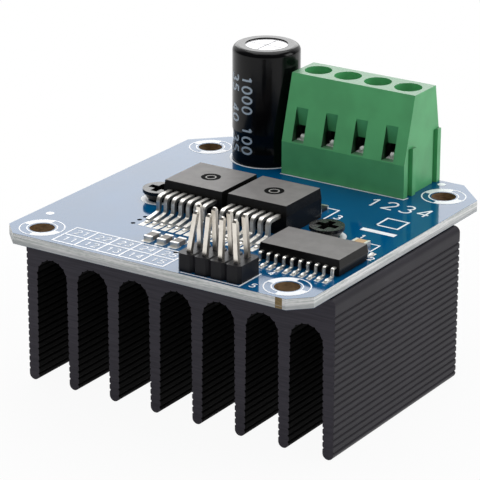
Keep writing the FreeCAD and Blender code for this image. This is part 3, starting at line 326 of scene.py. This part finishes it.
# Strokes of the plain numerals in a box 0.6 wide and 1 high: an ellipse's middle, its half width
# and half height, and the angles from start to end, or the two ends of a straight stroke.
NUMERALS = {
    "0": [(0.3, 0.5, 0.3, 0.5, 0, 360)],
    "1": [(0.1, 0.8, 0.35, 1.0), (0.35, 1.0, 0.35, 0.0)],
    "2": [(0.3, 0.71, 0.28, 0.29, 165, -38), (0.52, 0.53, 0.02, 0.0), (0.02, 0.0, 0.6, 0.0)],
    "3": [(0.27, 0.76, 0.25, 0.24, 150, -90), (0.27, 0.26, 0.3, 0.26, 90, -150)],
    "4": [(0.45, 0.0, 0.45, 1.0), (0.45, 1.0, 0.0, 0.3), (0.0, 0.3, 0.62, 0.3)],
    "5": [(0.56, 1.0, 0.1, 1.0), (0.1, 1.0, 0.06, 0.56), (0.27, 0.31, 0.31, 0.31, 128, -150)],
}
NUMERAL_WIDTH, NUMERAL_GAP = 0.6, 0.35


def numeral_paths(text, height):
    """Flat paths of a row of numerals: each path is an array of points by 2, in millimetres."""
    paths, left = [], 0.0
    for sign in text:
        for stroke in NUMERALS.get(sign, []):
            if len(stroke) == 4:
                ends = np.array(stroke).reshape(2, 2)
                path = ends[0] + np.linspace(0, 1, 8)[:, None] * (ends[1] - ends[0])
            else:
                x, y, wide, high, start, end = stroke
                angle = np.radians(np.linspace(start, end, 28))
                path = np.stack([x + wide * np.cos(angle), y + high * np.sin(angle)], axis=-1)
            paths.append((path + [left, 0]) * height)
        left += NUMERAL_WIDTH + NUMERAL_GAP
    return paths


def staggered(height, order):
    """Heights that differ from bar to bar: where two bars cross, tops in one plane leave dark dots."""
    return height + 0.004 * (order % 3)


class StudioSettings(bpy.types.PropertyGroup):
    """The camera, the lamps and the floor."""
    camera_place: FloatVectorProperty(
        name="Camera place", description="Where the camera stands", size=3,
        default=(0.197568, -0.30549, 0.157549), subtype="TRANSLATION", unit="LENGTH")
    camera_aim: FloatVectorProperty(
        name="Camera direction", description="Which way the camera looks", size=3,
        default=(-0.51187, 0.78357, -0.35216), subtype="DIRECTION")
    camera_roll: FloatProperty(
        name="Camera roll", description="Turn of the camera about its view",
        default=math.radians(0.12), subtype="ANGLE")
    lens: FloatProperty(name="Lens", description="Focal length in millimetres", default=203.57,
                        unit="CAMERA")
    top_light: FloatProperty(
        name="Top lamp", description="Power of the large lamp overhead", default=2.5, unit="POWER")
    back_light: FloatProperty(
        name="Back lamp", description="Power of the soft lamp that the board mirrors", default=1.9,
        unit="POWER")
    side_light: FloatProperty(
        name="Side lamp", description="Power of the lamp at the right and back", default=0.85,
        unit="POWER")
    room_light: FloatProperty(
        name="Room", description="Strength of the light that comes from all round", default=0.37)


class FinishSettings(bpy.types.PropertyGroup):
    """The colours that the finishes start from."""
    anodised: FloatVectorProperty(
        name="Anodised", description="Heatsink", size=3, default=linear(46, 44, 50), subtype="COLOR")
    mask: FloatVectorProperty(
        name="Solder mask", description="Board", size=3, default=linear(0, 76, 120), subtype="COLOR")
    fibre: FloatVectorProperty(
        name="Glass fibre", description="Board's cut edge", size=3, default=linear(236, 243, 241),
        subtype="COLOR")
    print_white: FloatVectorProperty(
        name="Print", description="Printed lines", size=3, default=linear(235, 238, 242),
        subtype="COLOR")
    green: FloatVectorProperty(
        name="Terminal green", description="Terminal block", size=3, default=linear(94, 186, 121),
        subtype="COLOR")
    # The chips' light grey stands in for the sheen on their tops: painted sheen.
    compound: FloatVectorProperty(
        name="Chip compound", description="Moulded chips", size=3, default=linear(113, 111, 110),
        subtype="COLOR")
    sleeve: FloatVectorProperty(
        name="Sleeve", description="Capacitor's sleeve", size=3, default=linear(9, 9, 11),
        subtype="COLOR")
    tin: FloatVectorProperty(
        name="Tin", description="Leads, pads and solder", size=3, default=linear(236, 234, 228),
        subtype="COLOR")


def anodised_paint(colour):
    """Dark anodised aluminium: fine lines along the extrusion, saw marks on the cut ends, which are
    lightened as painted sheen, and painted shade inside the channels between the fins.
    """
    paint = Paint("anodised_aluminium", {"Base Color": colour, "IOR": 1.24, "Roughness": 0.42})
    place = paint.place()
    x, y = paint.along("X", place), paint.along("Y", place)
    low, high = span("heatsink")
    cut = y.below(low[1] + 0.02) + y.above(high[1] - 0.02)
    # Painted shade: all faces between the outer fins, save the cut ends, are darkened to 0.01 of the
    # colour, for the shade deep in the channels.
    painted_channel_shade = x.math("ABSOLUTE").below(high[0] - 0.9) * (1 - cut)
    lines = paint.noise(0.16, stretch=(1, 90, 1), detail=3)
    saw = paint.noise(0.22, stretch=(26, 1, 1), detail=3)
    cloud = paint.noise(6.0)
    tone = paint.blend(cloud.ramp(0.3, 0.7), [c * 0.9 for c in colour], [c * 1.12 for c in colour])
    # The cut ends keep their real saw marks, and their colour is lifted to 1.6 to 2.3 times the anodised
    # colour as painted sheen.
    sawn_with_sheen = paint.blend(saw.ramp(0.25, 0.75), [c * 1.6 for c in colour], [c * 2.3 for c in colour])
    # Painted shade in the channels, almost black.
    tone = paint.blend(painted_channel_shade, tone, [c * 0.01 for c in colour])
    paint.feed("Base Color", paint.blend(cut, tone, sawn_with_sheen))
    paint.feed("Roughness", 0.34 + lines * 0.16 + cut * 0.1 + painted_channel_shade * 0.5)
    paint.relief(lines * (1 - cut) + saw * cut, 0.012)
    return paint


def moulded_paint(name, colour, roughness, grain, depth, steady=None):
    """Moulded plastic: an even colour with faint clouds, and a fine grain from the mould."""
    paint = Paint(name, {"Base Color": colour, "IOR": 1.5, **(steady or {})})
    paint.feed("Base Color", paint.cloudy(colour))
    paint.grainy(roughness, grain, depth)
    return paint


def metal_paint(name, colour, roughness, size=0.25, depth=0.004, steady=None):
    """Plated or tinned metal with small clouds of brightness and a slightly uneven surface."""
    paint = Paint(name, {"Base Color": colour, "Metallic": 1.0, **(steady or {})})
    paint.feed("Base Color", paint.cloudy(colour, size * 4, 0.88, 1.0))
    paint.grainy(roughness, size, depth)
    return paint


def mask_paint(colour, fibre):
    """Blue solder mask on the board's faces, layers of glass fibre on its edges, brown bores, and
    painted shade in the small drilled holes.
    """
    paint = Paint("solder_mask", {"Base Color": colour, "IOR": 1.45})
    place = paint.place()
    x, y, z = (paint.along(axis, place) for axis in "XYZ")
    rim = 0.03
    edge = z.above(BOARD_BOTTOM + rim) * z.below(BOARD_TOP - rim)
    from_middle = (x - BOARD_MIDDLE[0]).math("ABSOLUTE")
    across = from_middle - HOLE_X
    along = (y - BOARD_MIDDLE[1] - HOLE_SHIFT).math("ABSOLUTE") - HOLE_Y
    bore = (across * across + along * along).below(BORE_REACH ** 2)
    cloud = paint.noise(9.0, detail=3)
    masked = paint.blend(cloud.ramp(0.3, 0.7), [c * 0.92 for c in colour], [c * 1.08 for c in colour])
    layers = paint.noise(0.22, stretch=(40, 40, 1), detail=2)
    threads = paint.noise(0.35, stretch=(2, 2, 0.5), detail=4)
    weave = paint.blend((layers * 0.7 + threads * 0.3).ramp(0.38, 0.62),
                        [c * 0.74 for c in fibre], [min(1, c * 1.2) for c in fibre])
    lower = (BOARD_TOP - z).ramp(0.7, 1.3)
    weave = paint.blend(lower * 0.6, weave, linear(170, 174, 178))
    stain = paint.blend(threads.ramp(0.3, 0.7), linear(120, 98, 60), linear(150, 128, 84))
    for mark_x, mark_y, reach in EDGE_MARKS:
        off_x, off_y = x - mark_x, y - mark_y
        mark = (off_x * off_x + off_y * off_y).below(reach ** 2)
        weave = paint.blend(mark * layers.ramp(0.2, 0.4), weave, stain)
    walls = paint.blend(threads.ramp(0.3, 0.7), linear(104, 78, 48), linear(138, 110, 74))
    # Painted shade: cut faces in the drilled area, the walls of the small drilled holes, are painted
    # near black for the shade inside them.
    drilled = from_middle.below(DRILLED_X)
    drilled = drilled * (y - BOARD_MIDDLE[1]).math("ABSOLUTE").below(DRILLED_Y)
    cut = paint.blend(drilled, weave, linear(14, 14, 16))
    cut = paint.blend(bore, cut, walls)
    paint.feed("Base Color", paint.blend(edge, masked, cut))
    paint.feed("Roughness", 0.07 + cloud * 0.04 + edge * 0.5)
    paint.relief(paint.noise(2.2, detail=2) * (1 - edge) * 0.5 + threads * edge * 0.8, 0.006)
    return paint


class StageOperator(bpy.types.Operator):
    """Sets the floor, the lamps, the white surround and the camera"""
    bl_idname = "driver.stage"
    bl_label = "Stage"

    def execute(self, context):
        studio = context.scene.driver_studio
        self.floor()
        self.surround(context.scene, studio.room_light)
        self.lamps(studio)
        self.camera(context.scene, studio)
        context.scene.view_settings.view_transform = "Standard"
        return {"FINISHED"}

    def floor(self):
        """A round floor under the fins: a faint shadow near the object, and pure white far from it."""
        radius, turns = 1.6, 96
        angle = np.arange(turns) * 2 * math.pi / turns
        rim = np.stack([radius * np.cos(angle), radius * np.sin(angle), 0 * angle], axis=-1)
        mesh = bpy.data.meshes.new("floor")
        mesh.from_pydata(rim.tolist(), [], [tuple(range(turns))])
        floor = bpy.data.objects.new("floor", mesh)
        bpy.context.collection.objects.link(floor)
        paint = Paint("floor", {"Base Color": (0.6, 0.6, 0.6), "Roughness": 0.9, "IOR": 1.2})
        mesh.materials.append(paint.material)
        x, y = paint.along("X"), paint.along("Y")
        reach = (x * x + y * y).math("SQRT")
        seen = paint.node("ShaderNodeLightPath", {}, {}, "Is Camera Ray")
        mirrored = paint.node("ShaderNodeLightPath", {}, {}, "Is Glossy Ray")
        through = paint.node("ShaderNodeLightPath", {}, {}, "Is Transmission Ray")
        glow = paint.node("ShaderNodeEmission", {}, {"Color": (1, 1, 1, 1), "Strength": 1.0})
        share = (0.94 + reach.ramp(34, 90) * 0.06) * (seen + mirrored + through).math("MINIMUM", 1.0)
        mixed = paint.node("ShaderNodeMixShader", {}, {
            0: share, 1: Signal(paint, paint.shader.outputs["BSDF"]), 2: glow})
        output = next(n for n in paint.tree.nodes if n.bl_idname == "ShaderNodeOutputMaterial")
        paint.tree.links.new(mixed.socket, output.inputs["Surface"])

    def surround(self, scene, strength):
        """White to the camera and through glass, in mirrors too towards the back, softer as light."""
        world = bpy.data.worlds.new("surround")
        scene.world = world
        world.use_nodes = True
        tree = world.node_tree
        tree.nodes.clear()

        def node(*parts):
            return add_node(tree, *parts)

        path = tree.nodes.new("ShaderNodeLightPath").outputs
        way = node("ShaderNodeTexCoord", {}, {}, "Generated")
        back = node("ShaderNodeVectorMath", {"operation": "DOT_PRODUCT"},
                    {0: way, 1: (-0.5, 0.78, 0.37)}, "Value")
        mirror = node("ShaderNodeMapRange", {"interpolation_type": "SMOOTHSTEP"}, {
            "Value": back, "From Min": 0.35, "From Max": 0.85, "To Min": 0.09, "To Max": 1.0})
        seen = node("ShaderNodeMath", {"operation": "ADD", "use_clamp": True}, {
            0: path["Is Camera Ray"], 1: path["Is Transmission Ray"]})
        white = node("ShaderNodeBackground", {}, {"Color": (1, 1, 1, 1), "Strength": 1.0})
        glossy = node("ShaderNodeBackground", {}, {"Color": (1, 1, 1, 1), "Strength": mirror})
        soft = node("ShaderNodeBackground", {}, {"Color": (1, 1, 1, 1), "Strength": strength})
        lit = node("ShaderNodeMixShader", {}, {0: path["Is Glossy Ray"], 1: soft, 2: glossy})
        shown = node("ShaderNodeMixShader", {}, {0: seen, 1: lit, 2: white})
        node("ShaderNodeOutputWorld", {}, {"Surface": shown}, None)

    def lamps(self, studio):
        """Soft area lamps: overhead, low at the back where the board mirrors it, and at the right."""
        target = Vector((0, 0, 0.02))
        lamps = [
            ("top_lamp", (-0.05, 0.10, 0.55), (0.55, 0.55), studio.top_light),
            ("back_lamp", (-0.486, 0.744, 0.362), (0.70, 0.42), studio.back_light),
            ("side_lamp", (0.50, 0.28, 0.25), (0.30, 0.30), studio.side_light),
        ]
        for name, spot, (width, height), power in lamps:
            light = bpy.data.lights.new(name, "AREA")
            light.shape = "RECTANGLE"
            light.size, light.size_y = width, height
            light.energy = power
            lamp = bpy.data.objects.new(name, light)
            lamp.location = spot
            lamp.rotation_euler = (target - Vector(spot)).to_track_quat("-Z", "Y").to_euler()
            bpy.context.collection.objects.link(lamp)

    def camera(self, scene, studio):
        """The camera at the photograph's angle."""
        data = bpy.data.cameras.new("camera")
        data.sensor_width = 36.0
        data.lens = studio.lens
        data.clip_start, data.clip_end = 0.01, 10.0
        camera = bpy.data.objects.new("camera", data)
        turn = Vector(studio.camera_aim).to_track_quat("-Z", "Y").to_matrix()
        roll = Matrix.Rotation(studio.camera_roll, 3, "Z")
        camera.matrix_world = Matrix.Translation(studio.camera_place) @ (turn @ roll).to_4x4()
        bpy.context.collection.objects.link(camera)
        scene.camera = camera


class HeatsinkOperator(bpy.types.Operator):
    """Finishes the heatsink, the thermal sheet and the two screws that hold the board"""
    bl_idname = "driver.heatsink"
    bl_label = "Heatsink"

    def execute(self, context):
        colours = context.scene.driver_finish
        dress(anodised_paint(colours.anodised), "heatsink")
        dress(moulded_paint("thermal_sheet", linear(150, 152, 156), 0.8, 0.2, 0.01), "thermal_pad")
        screws = moulded_paint("black_steel", linear(22, 22, 22), 0.26, 0.3, 0.008, {"IOR": 1.42})
        dress(screws, "heatsink_screws")
        return {"FINISHED"}


class BoardOperator(bpy.types.Operator):
    """Finishes the board"""
    bl_idname = "driver.board"
    bl_label = "Board"

    def execute(self, context):
        colours = context.scene.driver_finish
        dress(mask_paint(colours.mask, colours.fibre), "circuit_board")
        return {"FINISHED"}


class PrintOperator(bpy.types.Operator):
    """Adds the white printed lines, rings and numerals on the board"""
    bl_idname = "driver.print"
    bl_label = "Print"

    def execute(self, context):
        colours = context.scene.driver_finish
        paint = moulded_paint("print_ink", colours.print_white, 0.45, 0.15, 0.004)
        self.batch = Batch()
        self.corner_rings()
        self.table()
        self.outlines()
        self.marks()
        self.batch.piece("board_print", paint)
        return {"FINISHED"}

    def stroke(self, points, width=0.26):
        """Straight bars from point to point, each a hair higher than the last where they cross."""
        path = np.array([on_board(*point) for point in points])
        for turn, (start, end) in enumerate(zip(path, path[1:])):
            reach = (end - start) / np.linalg.norm(end - start) * width / 2
            self.batch.bar([start - reach, end + reach], UP, width, staggered(0.024, turn))

    def curve(self, x, y, radius, start, end, width):
        """A flat bar along an arc round x and y."""
        self.batch.bar(arc_path(on_board(x, y), radius, start, end), UP, width, 0.022)

    def number(self, text, x, y, height, width=0.24):
        """A row of plain numerals whose lower left corner lies at x and y."""
        for turn, path in enumerate(numeral_paths(text, height)):
            lifted = on_board(x, y) + np.column_stack([path, 0 * path[:, 0]])
            self.batch.bar(lifted, UP, width, staggered(0.022, turn))

    def corner_rings(self):
        """Round each corner hole: two quarters filled white, and two only outlined."""
        for across in (-1, 1):
            for along in (-1, 1):
                x, y = across * HOLE_X, along * HOLE_Y + HOLE_SHIFT
                for start in (0, 180):
                    self.curve(x, y, 3.2, start, start + 180, 0.2)
                    self.curve(x, y, 2.14, start, start + 90, 0.2)
                    self.curve(x, y, 2.56, start + 90, start + 180, 1.04)

    def table(self):
        """Two rows of five cells along the front edge, with a plain number in each."""
        left, right, low, high = -16.2, 2.4, -25.3, -19.5
        columns, width = 5, 0.28
        rows = (low, (low + high) / 2, high)
        for y in rows:
            self.stroke([(left, y), (right, y)], width)
        for column in range(columns + 1):
            x = left + (right - left) * column / columns
            self.batch.bar([on_board(x, low), on_board(x, high)], UP, width, 0.03)
            if column < columns:
                for row in range(2):
                    text = str(11 + column + 10 * row)
                    self.number(text, x + 0.9, rows[row] + 0.75, 1.35, 0.18)

    def outlines(self):
        """The outlines that show round the parts' feet."""
        self.stroke([(-4.75, 15.72), (16.15, 15.72), (16.35, 16.5)], 0.24)
        self.stroke([(5.55, -25.65), (14.95, -25.65), (14.95, -20.4)], 0.24)
        self.stroke([(8.7, 6.75), (10.75, 6.75), (10.75, 2.7)], 0.24)
        self.stroke([(21.3, -2.35), (22.85, -2.35), (22.85, -4.9), (21.3, -4.9)], 0.22)
        low, high = span("capacitor_sleeve")
        centre = (low + high) / 2 - BOARD_MIDDLE
        # The ring round the capacitor's foot is open where the board ends.
        for start, end in ((112, 270), (270, 428)):
            self.curve(centre[0], centre[1], 5.35, start, end, 0.3)
        low, high = span("heatsink_screws")
        head_radius = 2.5
        for x in (low[0] + head_radius, high[0] - head_radius):
            at = x - BOARD_MIDDLE[0], (low[1] + high[1]) / 2 - BOARD_MIDDLE[1]
            for start in (0, 180):
                self.curve(at[0], at[1], 2.3, start, start + 180, 0.95)

    def marks(self):
        """Small marks: numerals, a square outline with a bar near the right edge, and two dots."""
        self.number("12", 12.3, 11.0, 2.9, 0.3)
        self.number("34", 17.9, 11.0, 2.9, 0.3)
        self.stroke([(18.2, 4.6), (21.6, 4.6), (21.6, 7.8), (18.2, 7.8), (18.2, 4.6)], 0.3)
        self.stroke([(17.7, 2.2), (22.2, 2.2)], 1.0)
        self.number("3", 11.7, 3.5, 1.5)
        self.number("1", 18.6, -1.2, 1.3, 0.2)
        self.number("2", 24.05, -7.9, 1.1, 0.2)
        self.number("4", 15.6, -19.9, 1.2, 0.2)
        self.number("5", 16.0, -25.0, 1.2, 0.2)
        for x, y in ((-22.9, -16.9), (17.5, 24.6)):
            self.batch.lathe(on_board(x, y), [(0.62, 0), (0.62, 0.024), (0.2, 0.025)], 24)


class PadOperator(bpy.types.Operator):
    """Adds the tinned pads and the solder at the feet of the leads and of the small parts"""
    bl_idname = "driver.pads"
    bl_label = "Pads and solder"

    def execute(self, context):
        colours = context.scene.driver_finish
        self.pads, self.solder = Batch(), Batch()
        for chip in ("left_chip_leads", "right_chip_leads"):
            low, high = span(chip)
            for x in np.linspace(low[0] + 0.3, high[0] - 0.3, POWER_LEADS):
                self.pad(x, low[1] - 1.7, low[1] + 2.2, 0.92)
                self.solder.mound((x, low[1] + 0.2, BOARD_TOP), 0.45, 0.75, 0.34)
        low, high = span("logic_chip_leads")
        for x in np.linspace(low[0] + 0.21, high[0] - 0.21, LOGIC_LEADS):
            for toe, side in ((low[1], 1), (high[1], -1)):
                self.pad(x, toe - 0.75, toe + 0.75, 0.72)
                self.solder.mound((x, toe + side * 0.1, BOARD_TOP), 0.33, 0.72, 0.42)
        low, high = span("front_capacitors")
        width = 1.25
        for x in np.linspace(low[0] + width / 2, high[0] - width / 2, 3):
            self.pad(x, low[1] - 1.0, low[1] + 0.35, 1.45)
            self.pad(x, high[1] - 0.35, high[1] + 1.1, 1.45)
        tinned = metal_paint("tinned_pads", colours.tin, 0.5, 0.4, 0.004, {"Metallic": 0.45})
        solder = metal_paint("solder_fillets", colours.tin, 0.36, 0.3, 0.004, {"Metallic": 0.7})
        self.pads.piece("tinned_pads", tinned)
        self.solder.piece("solder_fillets", solder, smooth=True)
        return {"FINISHED"}

    def pad(self, x, start, end, width):
        """A thin tinned pad on the board."""
        self.pads.slab((x - width / 2, start, BOARD_TOP), (x + width / 2, end, BOARD_TOP + 0.02))


class CapacitorOperator(bpy.types.Operator):
    """Finishes the tall capacitor"""
    bl_idname = "driver.capacitor"
    bl_label = "Capacitor"

    def execute(self, context):
        colours = context.scene.driver_finish
        sleeve = moulded_paint("black_sleeve", colours.sleeve, 0.16, 0.9, 0.006, {"IOR": 1.3})
        dress(sleeve, "capacitor_sleeve")
        dress(metal_paint("bright_aluminium", linear(206, 206, 208), 0.42), "capacitor_can")
        ink = moulded_paint("sleeve_ink", linear(186, 200, 212), 0.4, 0.15, 0.002)
        print_on_sleeve = Batch()
        low, high = span("capacitor_sleeve")
        centre, radius = (low + high) / 2, (high[0] - low[0]) / 2
        for text, turn, top in (("1000 100", -101.5, 39.1), ("35 40 35", -130.0, 39.1)):
            for order, path in enumerate(numeral_paths(text, 1.65)):
                angle = math.radians(turn) + path[:, 1] / radius
                out = np.stack([np.cos(angle), np.sin(angle), 0 * angle], axis=-1)
                spots = out * radius + [centre[0], centre[1], 0]
                spots[:, 2] = top - path[:, 0]
                print_on_sleeve.bar(spots, out, 0.3, staggered(0.03, order))
        print_on_sleeve.piece("sleeve_print", ink)
        dress(moulded_paint("seal_rubber", linear(30, 30, 30), 0.8, 0.2, 0.01), "capacitor_seal")
        dress(metal_paint("tinned_wire", colours.tin, 0.25), "capacitor_leads")
        return {"FINISHED"}


class TerminalOperator(bpy.types.Operator):
    """Finishes the screw terminal block: its housing, cages, screws and contacts"""
    bl_idname = "driver.terminals"
    bl_label = "Screw terminals"

    def execute(self, context):
        colours = context.scene.driver_finish
        housing = Paint("green_plastic", {"Base Color": colours.green, "IOR": 1.5})
        place = housing.place()
        low, high = span("terminal_housing")
        right_wall, window_top = high[0] - 1.2, 35.0
        # Painted shade: faces that look right, left of the right wall and below the window tops, which
        # are the walls inside the wire windows, are darkened to 0.15 of the green.
        depth = housing.facing("X").ramp(0.6, 0.9) * housing.along("X", place).below(right_wall)
        depth = depth * housing.along("Z", place).below(window_top)
        dark = [c * 0.15 for c in colours.green]
        # Painted shade: the housing's top faces are darkened and greyed to (84, 134, 98), against the
        # top lamp's light.
        top = housing.facing("Z").ramp(0.8, 0.98)
        tone = housing.blend(top, housing.cloudy(colours.green), linear(84, 134, 98))
        housing.feed("Base Color", housing.blend(depth, tone, dark))
        housing.grainy(0.38, 0.25, 0.006)
        dress(housing, "terminal_housing")
        cage = Paint("plated_cage", {"Base Color": linear(120, 120, 118)})
        # Painted highlight: the front 1.3 mm of each cage, its rounded nose, is painted near white and
        # made mostly non-metallic, for the bright reflection that it shows.
        nose_end = span("clamp_cage_1")[0][1] + 1.3
        nose_highlight = cage.along("Y").below(nose_end)
        cage.feed("Base Color", cage.blend(nose_highlight, linear(110, 110, 108), linear(254, 254, 252)))
        cage.feed("Metallic", 0.9 - nose_highlight * 0.8)
        cage.grainy(0.5, 0.25, 0.002)
        screw = metal_paint("plated_screw", linear(196, 196, 192), 0.34)
        dress(metal_paint("tinned_strip", colours.tin, 0.3), "terminal_contacts")
        for number in range(1, POLES + 1):
            dress(cage, "clamp_cage_%d" % number)
            dress(screw, "clamp_screw_%d" % number)
        return {"FINISHED"}


class ChipOperator(bpy.types.Operator):
    """Finishes the power chips and the logic chip"""
    bl_idname = "driver.chips"
    bl_label = "Chips"

    def execute(self, context):
        colours = context.scene.driver_finish
        dress(self.compound("chip_compound", colours.compound), "left_chip_body", "right_chip_body")
        dress(self.compound("logic_compound", colours.compound), "logic_chip_body")
        self.marks()
        leads = metal_paint("tinned_copper", colours.tin, 0.42, depth=0.002)
        dress(leads, "left_chip_leads", "right_chip_leads", "left_chip_tab", "right_chip_tab",
              "logic_chip_leads")
        return {"FINISHED"}

    def compound(self, name, colour):
        """Moulded epoxy: a fine matt top whose light colour is painted sheen, and smooth sides painted
        near black as painted shade.
        """
        paint = Paint(name, {"Base Color": colour, "IOR": 1.22})
        # Painted light: tops take the full compound colour as painted sheen, sides 0.05 of it as painted
        # shade.
        top = paint.facing("Z").ramp(0.55, 0.9)
        grains = paint.noise(0.12, detail=3)
        shaded_sides = [c * 0.05 for c in colour]
        paint.feed("Base Color", paint.blend(top, shaded_sides, paint.cloudy(colour, 1.5)))
        paint.feed("Roughness", 0.18 + top * 0.2 + grains * 0.08)
        paint.relief(grains, 0.008)
        return paint

    def marks(self):
        """Painted shade in the round dimple in the top of each power chip: a black disc, with a plain
        grey ring in it.
        """
        discs, rings = Batch(), Batch()
        for node in ("left_chip_body", "right_chip_body"):
            low, high = span(node)
            centre = (low + high) / 2
            centre[2] = high[2] - 0.02
            # Painted shade: the black disc fills the dimple, for the shade in it.
            discs.lathe(centre, [(1.4, -0.02), (1.4, 0.0), (0.3, 0.002)], 40)
            rings.ring(centre, [(0.62, 0.0), (0.62, 0.006), (0.8, 0.006), (0.8, 0.0)], 32)
        black = moulded_paint("recess_shade_black", linear(10, 10, 11), 0.7, 0.1, 0.002, {"IOR": 1.1})
        grey = moulded_paint("mark_grey", linear(150, 148, 146), 0.6, 0.1, 0.002)
        discs.piece("chip_recess_shade", black)
        rings.piece("chip_mark_rings", grey)


class HeaderOperator(bpy.types.Operator):
    """Finishes the pin header"""
    bl_idname = "driver.header"
    bl_label = "Pin header"

    def execute(self, context):
        plastic = moulded_paint("black_plastic", linear(28, 28, 32), 0.34, 0.3, 0.01, {"IOR": 1.24})
        dress(plastic, "header_base")
        dress(metal_paint("plated_pins", linear(236, 230, 220), 0.3, depth=0.002), "header_pins")
        return {"FINISHED"}


class SmallPartOperator(bpy.types.Operator):
    """Finishes the small two-ended parts"""
    bl_idname = "driver.small_parts"
    bl_label = "Small parts"

    def execute(self, context):
        colours = context.scene.driver_finish
        dress(moulded_paint("grey_ceramic", linear(112, 108, 104), 0.5, 0.12, 0.006), "front_capacitors")
        dress(moulded_paint("tan_ceramic", linear(196, 164, 124), 0.4, 0.12, 0.006), "side_capacitor")
        dress(moulded_paint("dark_ceramic", linear(30, 30, 34), 0.35, 0.12, 0.006), "corner_resistor")
        dress(metal_paint("tinned_ends", colours.tin, 0.35), "small_part_ends")
        dress(metal_paint("solder", colours.tin, 0.2), "solder_joints")
        return {"FINISHED"}


STEPS = (HeatsinkOperator, BoardOperator, PrintOperator, PadOperator, CapacitorOperator,
         TerminalOperator, ChipOperator, HeaderOperator, SmallPartOperator, StageOperator)


class DriverPanel(bpy.types.Panel):
    """Lists the steps and the settings of the motor driver module"""
    bl_idname = "VIEW3D_PT_driver"
    bl_label = "Motor driver module"
    bl_space_type = "VIEW_3D"
    bl_region_type = "UI"
    bl_category = "Driver"

    def draw(self, context):
        for step in STEPS:
            self.layout.operator(step.bl_idname)
        for group in (context.scene.driver_studio, context.scene.driver_finish):
            box = self.layout.box()
            for name in group.__annotations__:
                box.prop(group, name)


CLASSES = (StudioSettings, FinishSettings, *STEPS, DriverPanel)


def register():
    for entry in CLASSES:
        bpy.utils.register_class(entry)
    bpy.types.Scene.driver_studio = PointerProperty(type=StudioSettings)
    bpy.types.Scene.driver_finish = PointerProperty(type=FinishSettings)


def unregister():
    del bpy.types.Scene.driver_finish
    del bpy.types.Scene.driver_studio
    for entry in reversed(CLASSES):
        bpy.utils.unregister_class(entry)


def main():
    register()
    for step in STEPS:
        group, name = step.bl_idname.split(".")
        getattr(getattr(bpy.ops, group), name)()


if __name__ == "__main__":
    main()
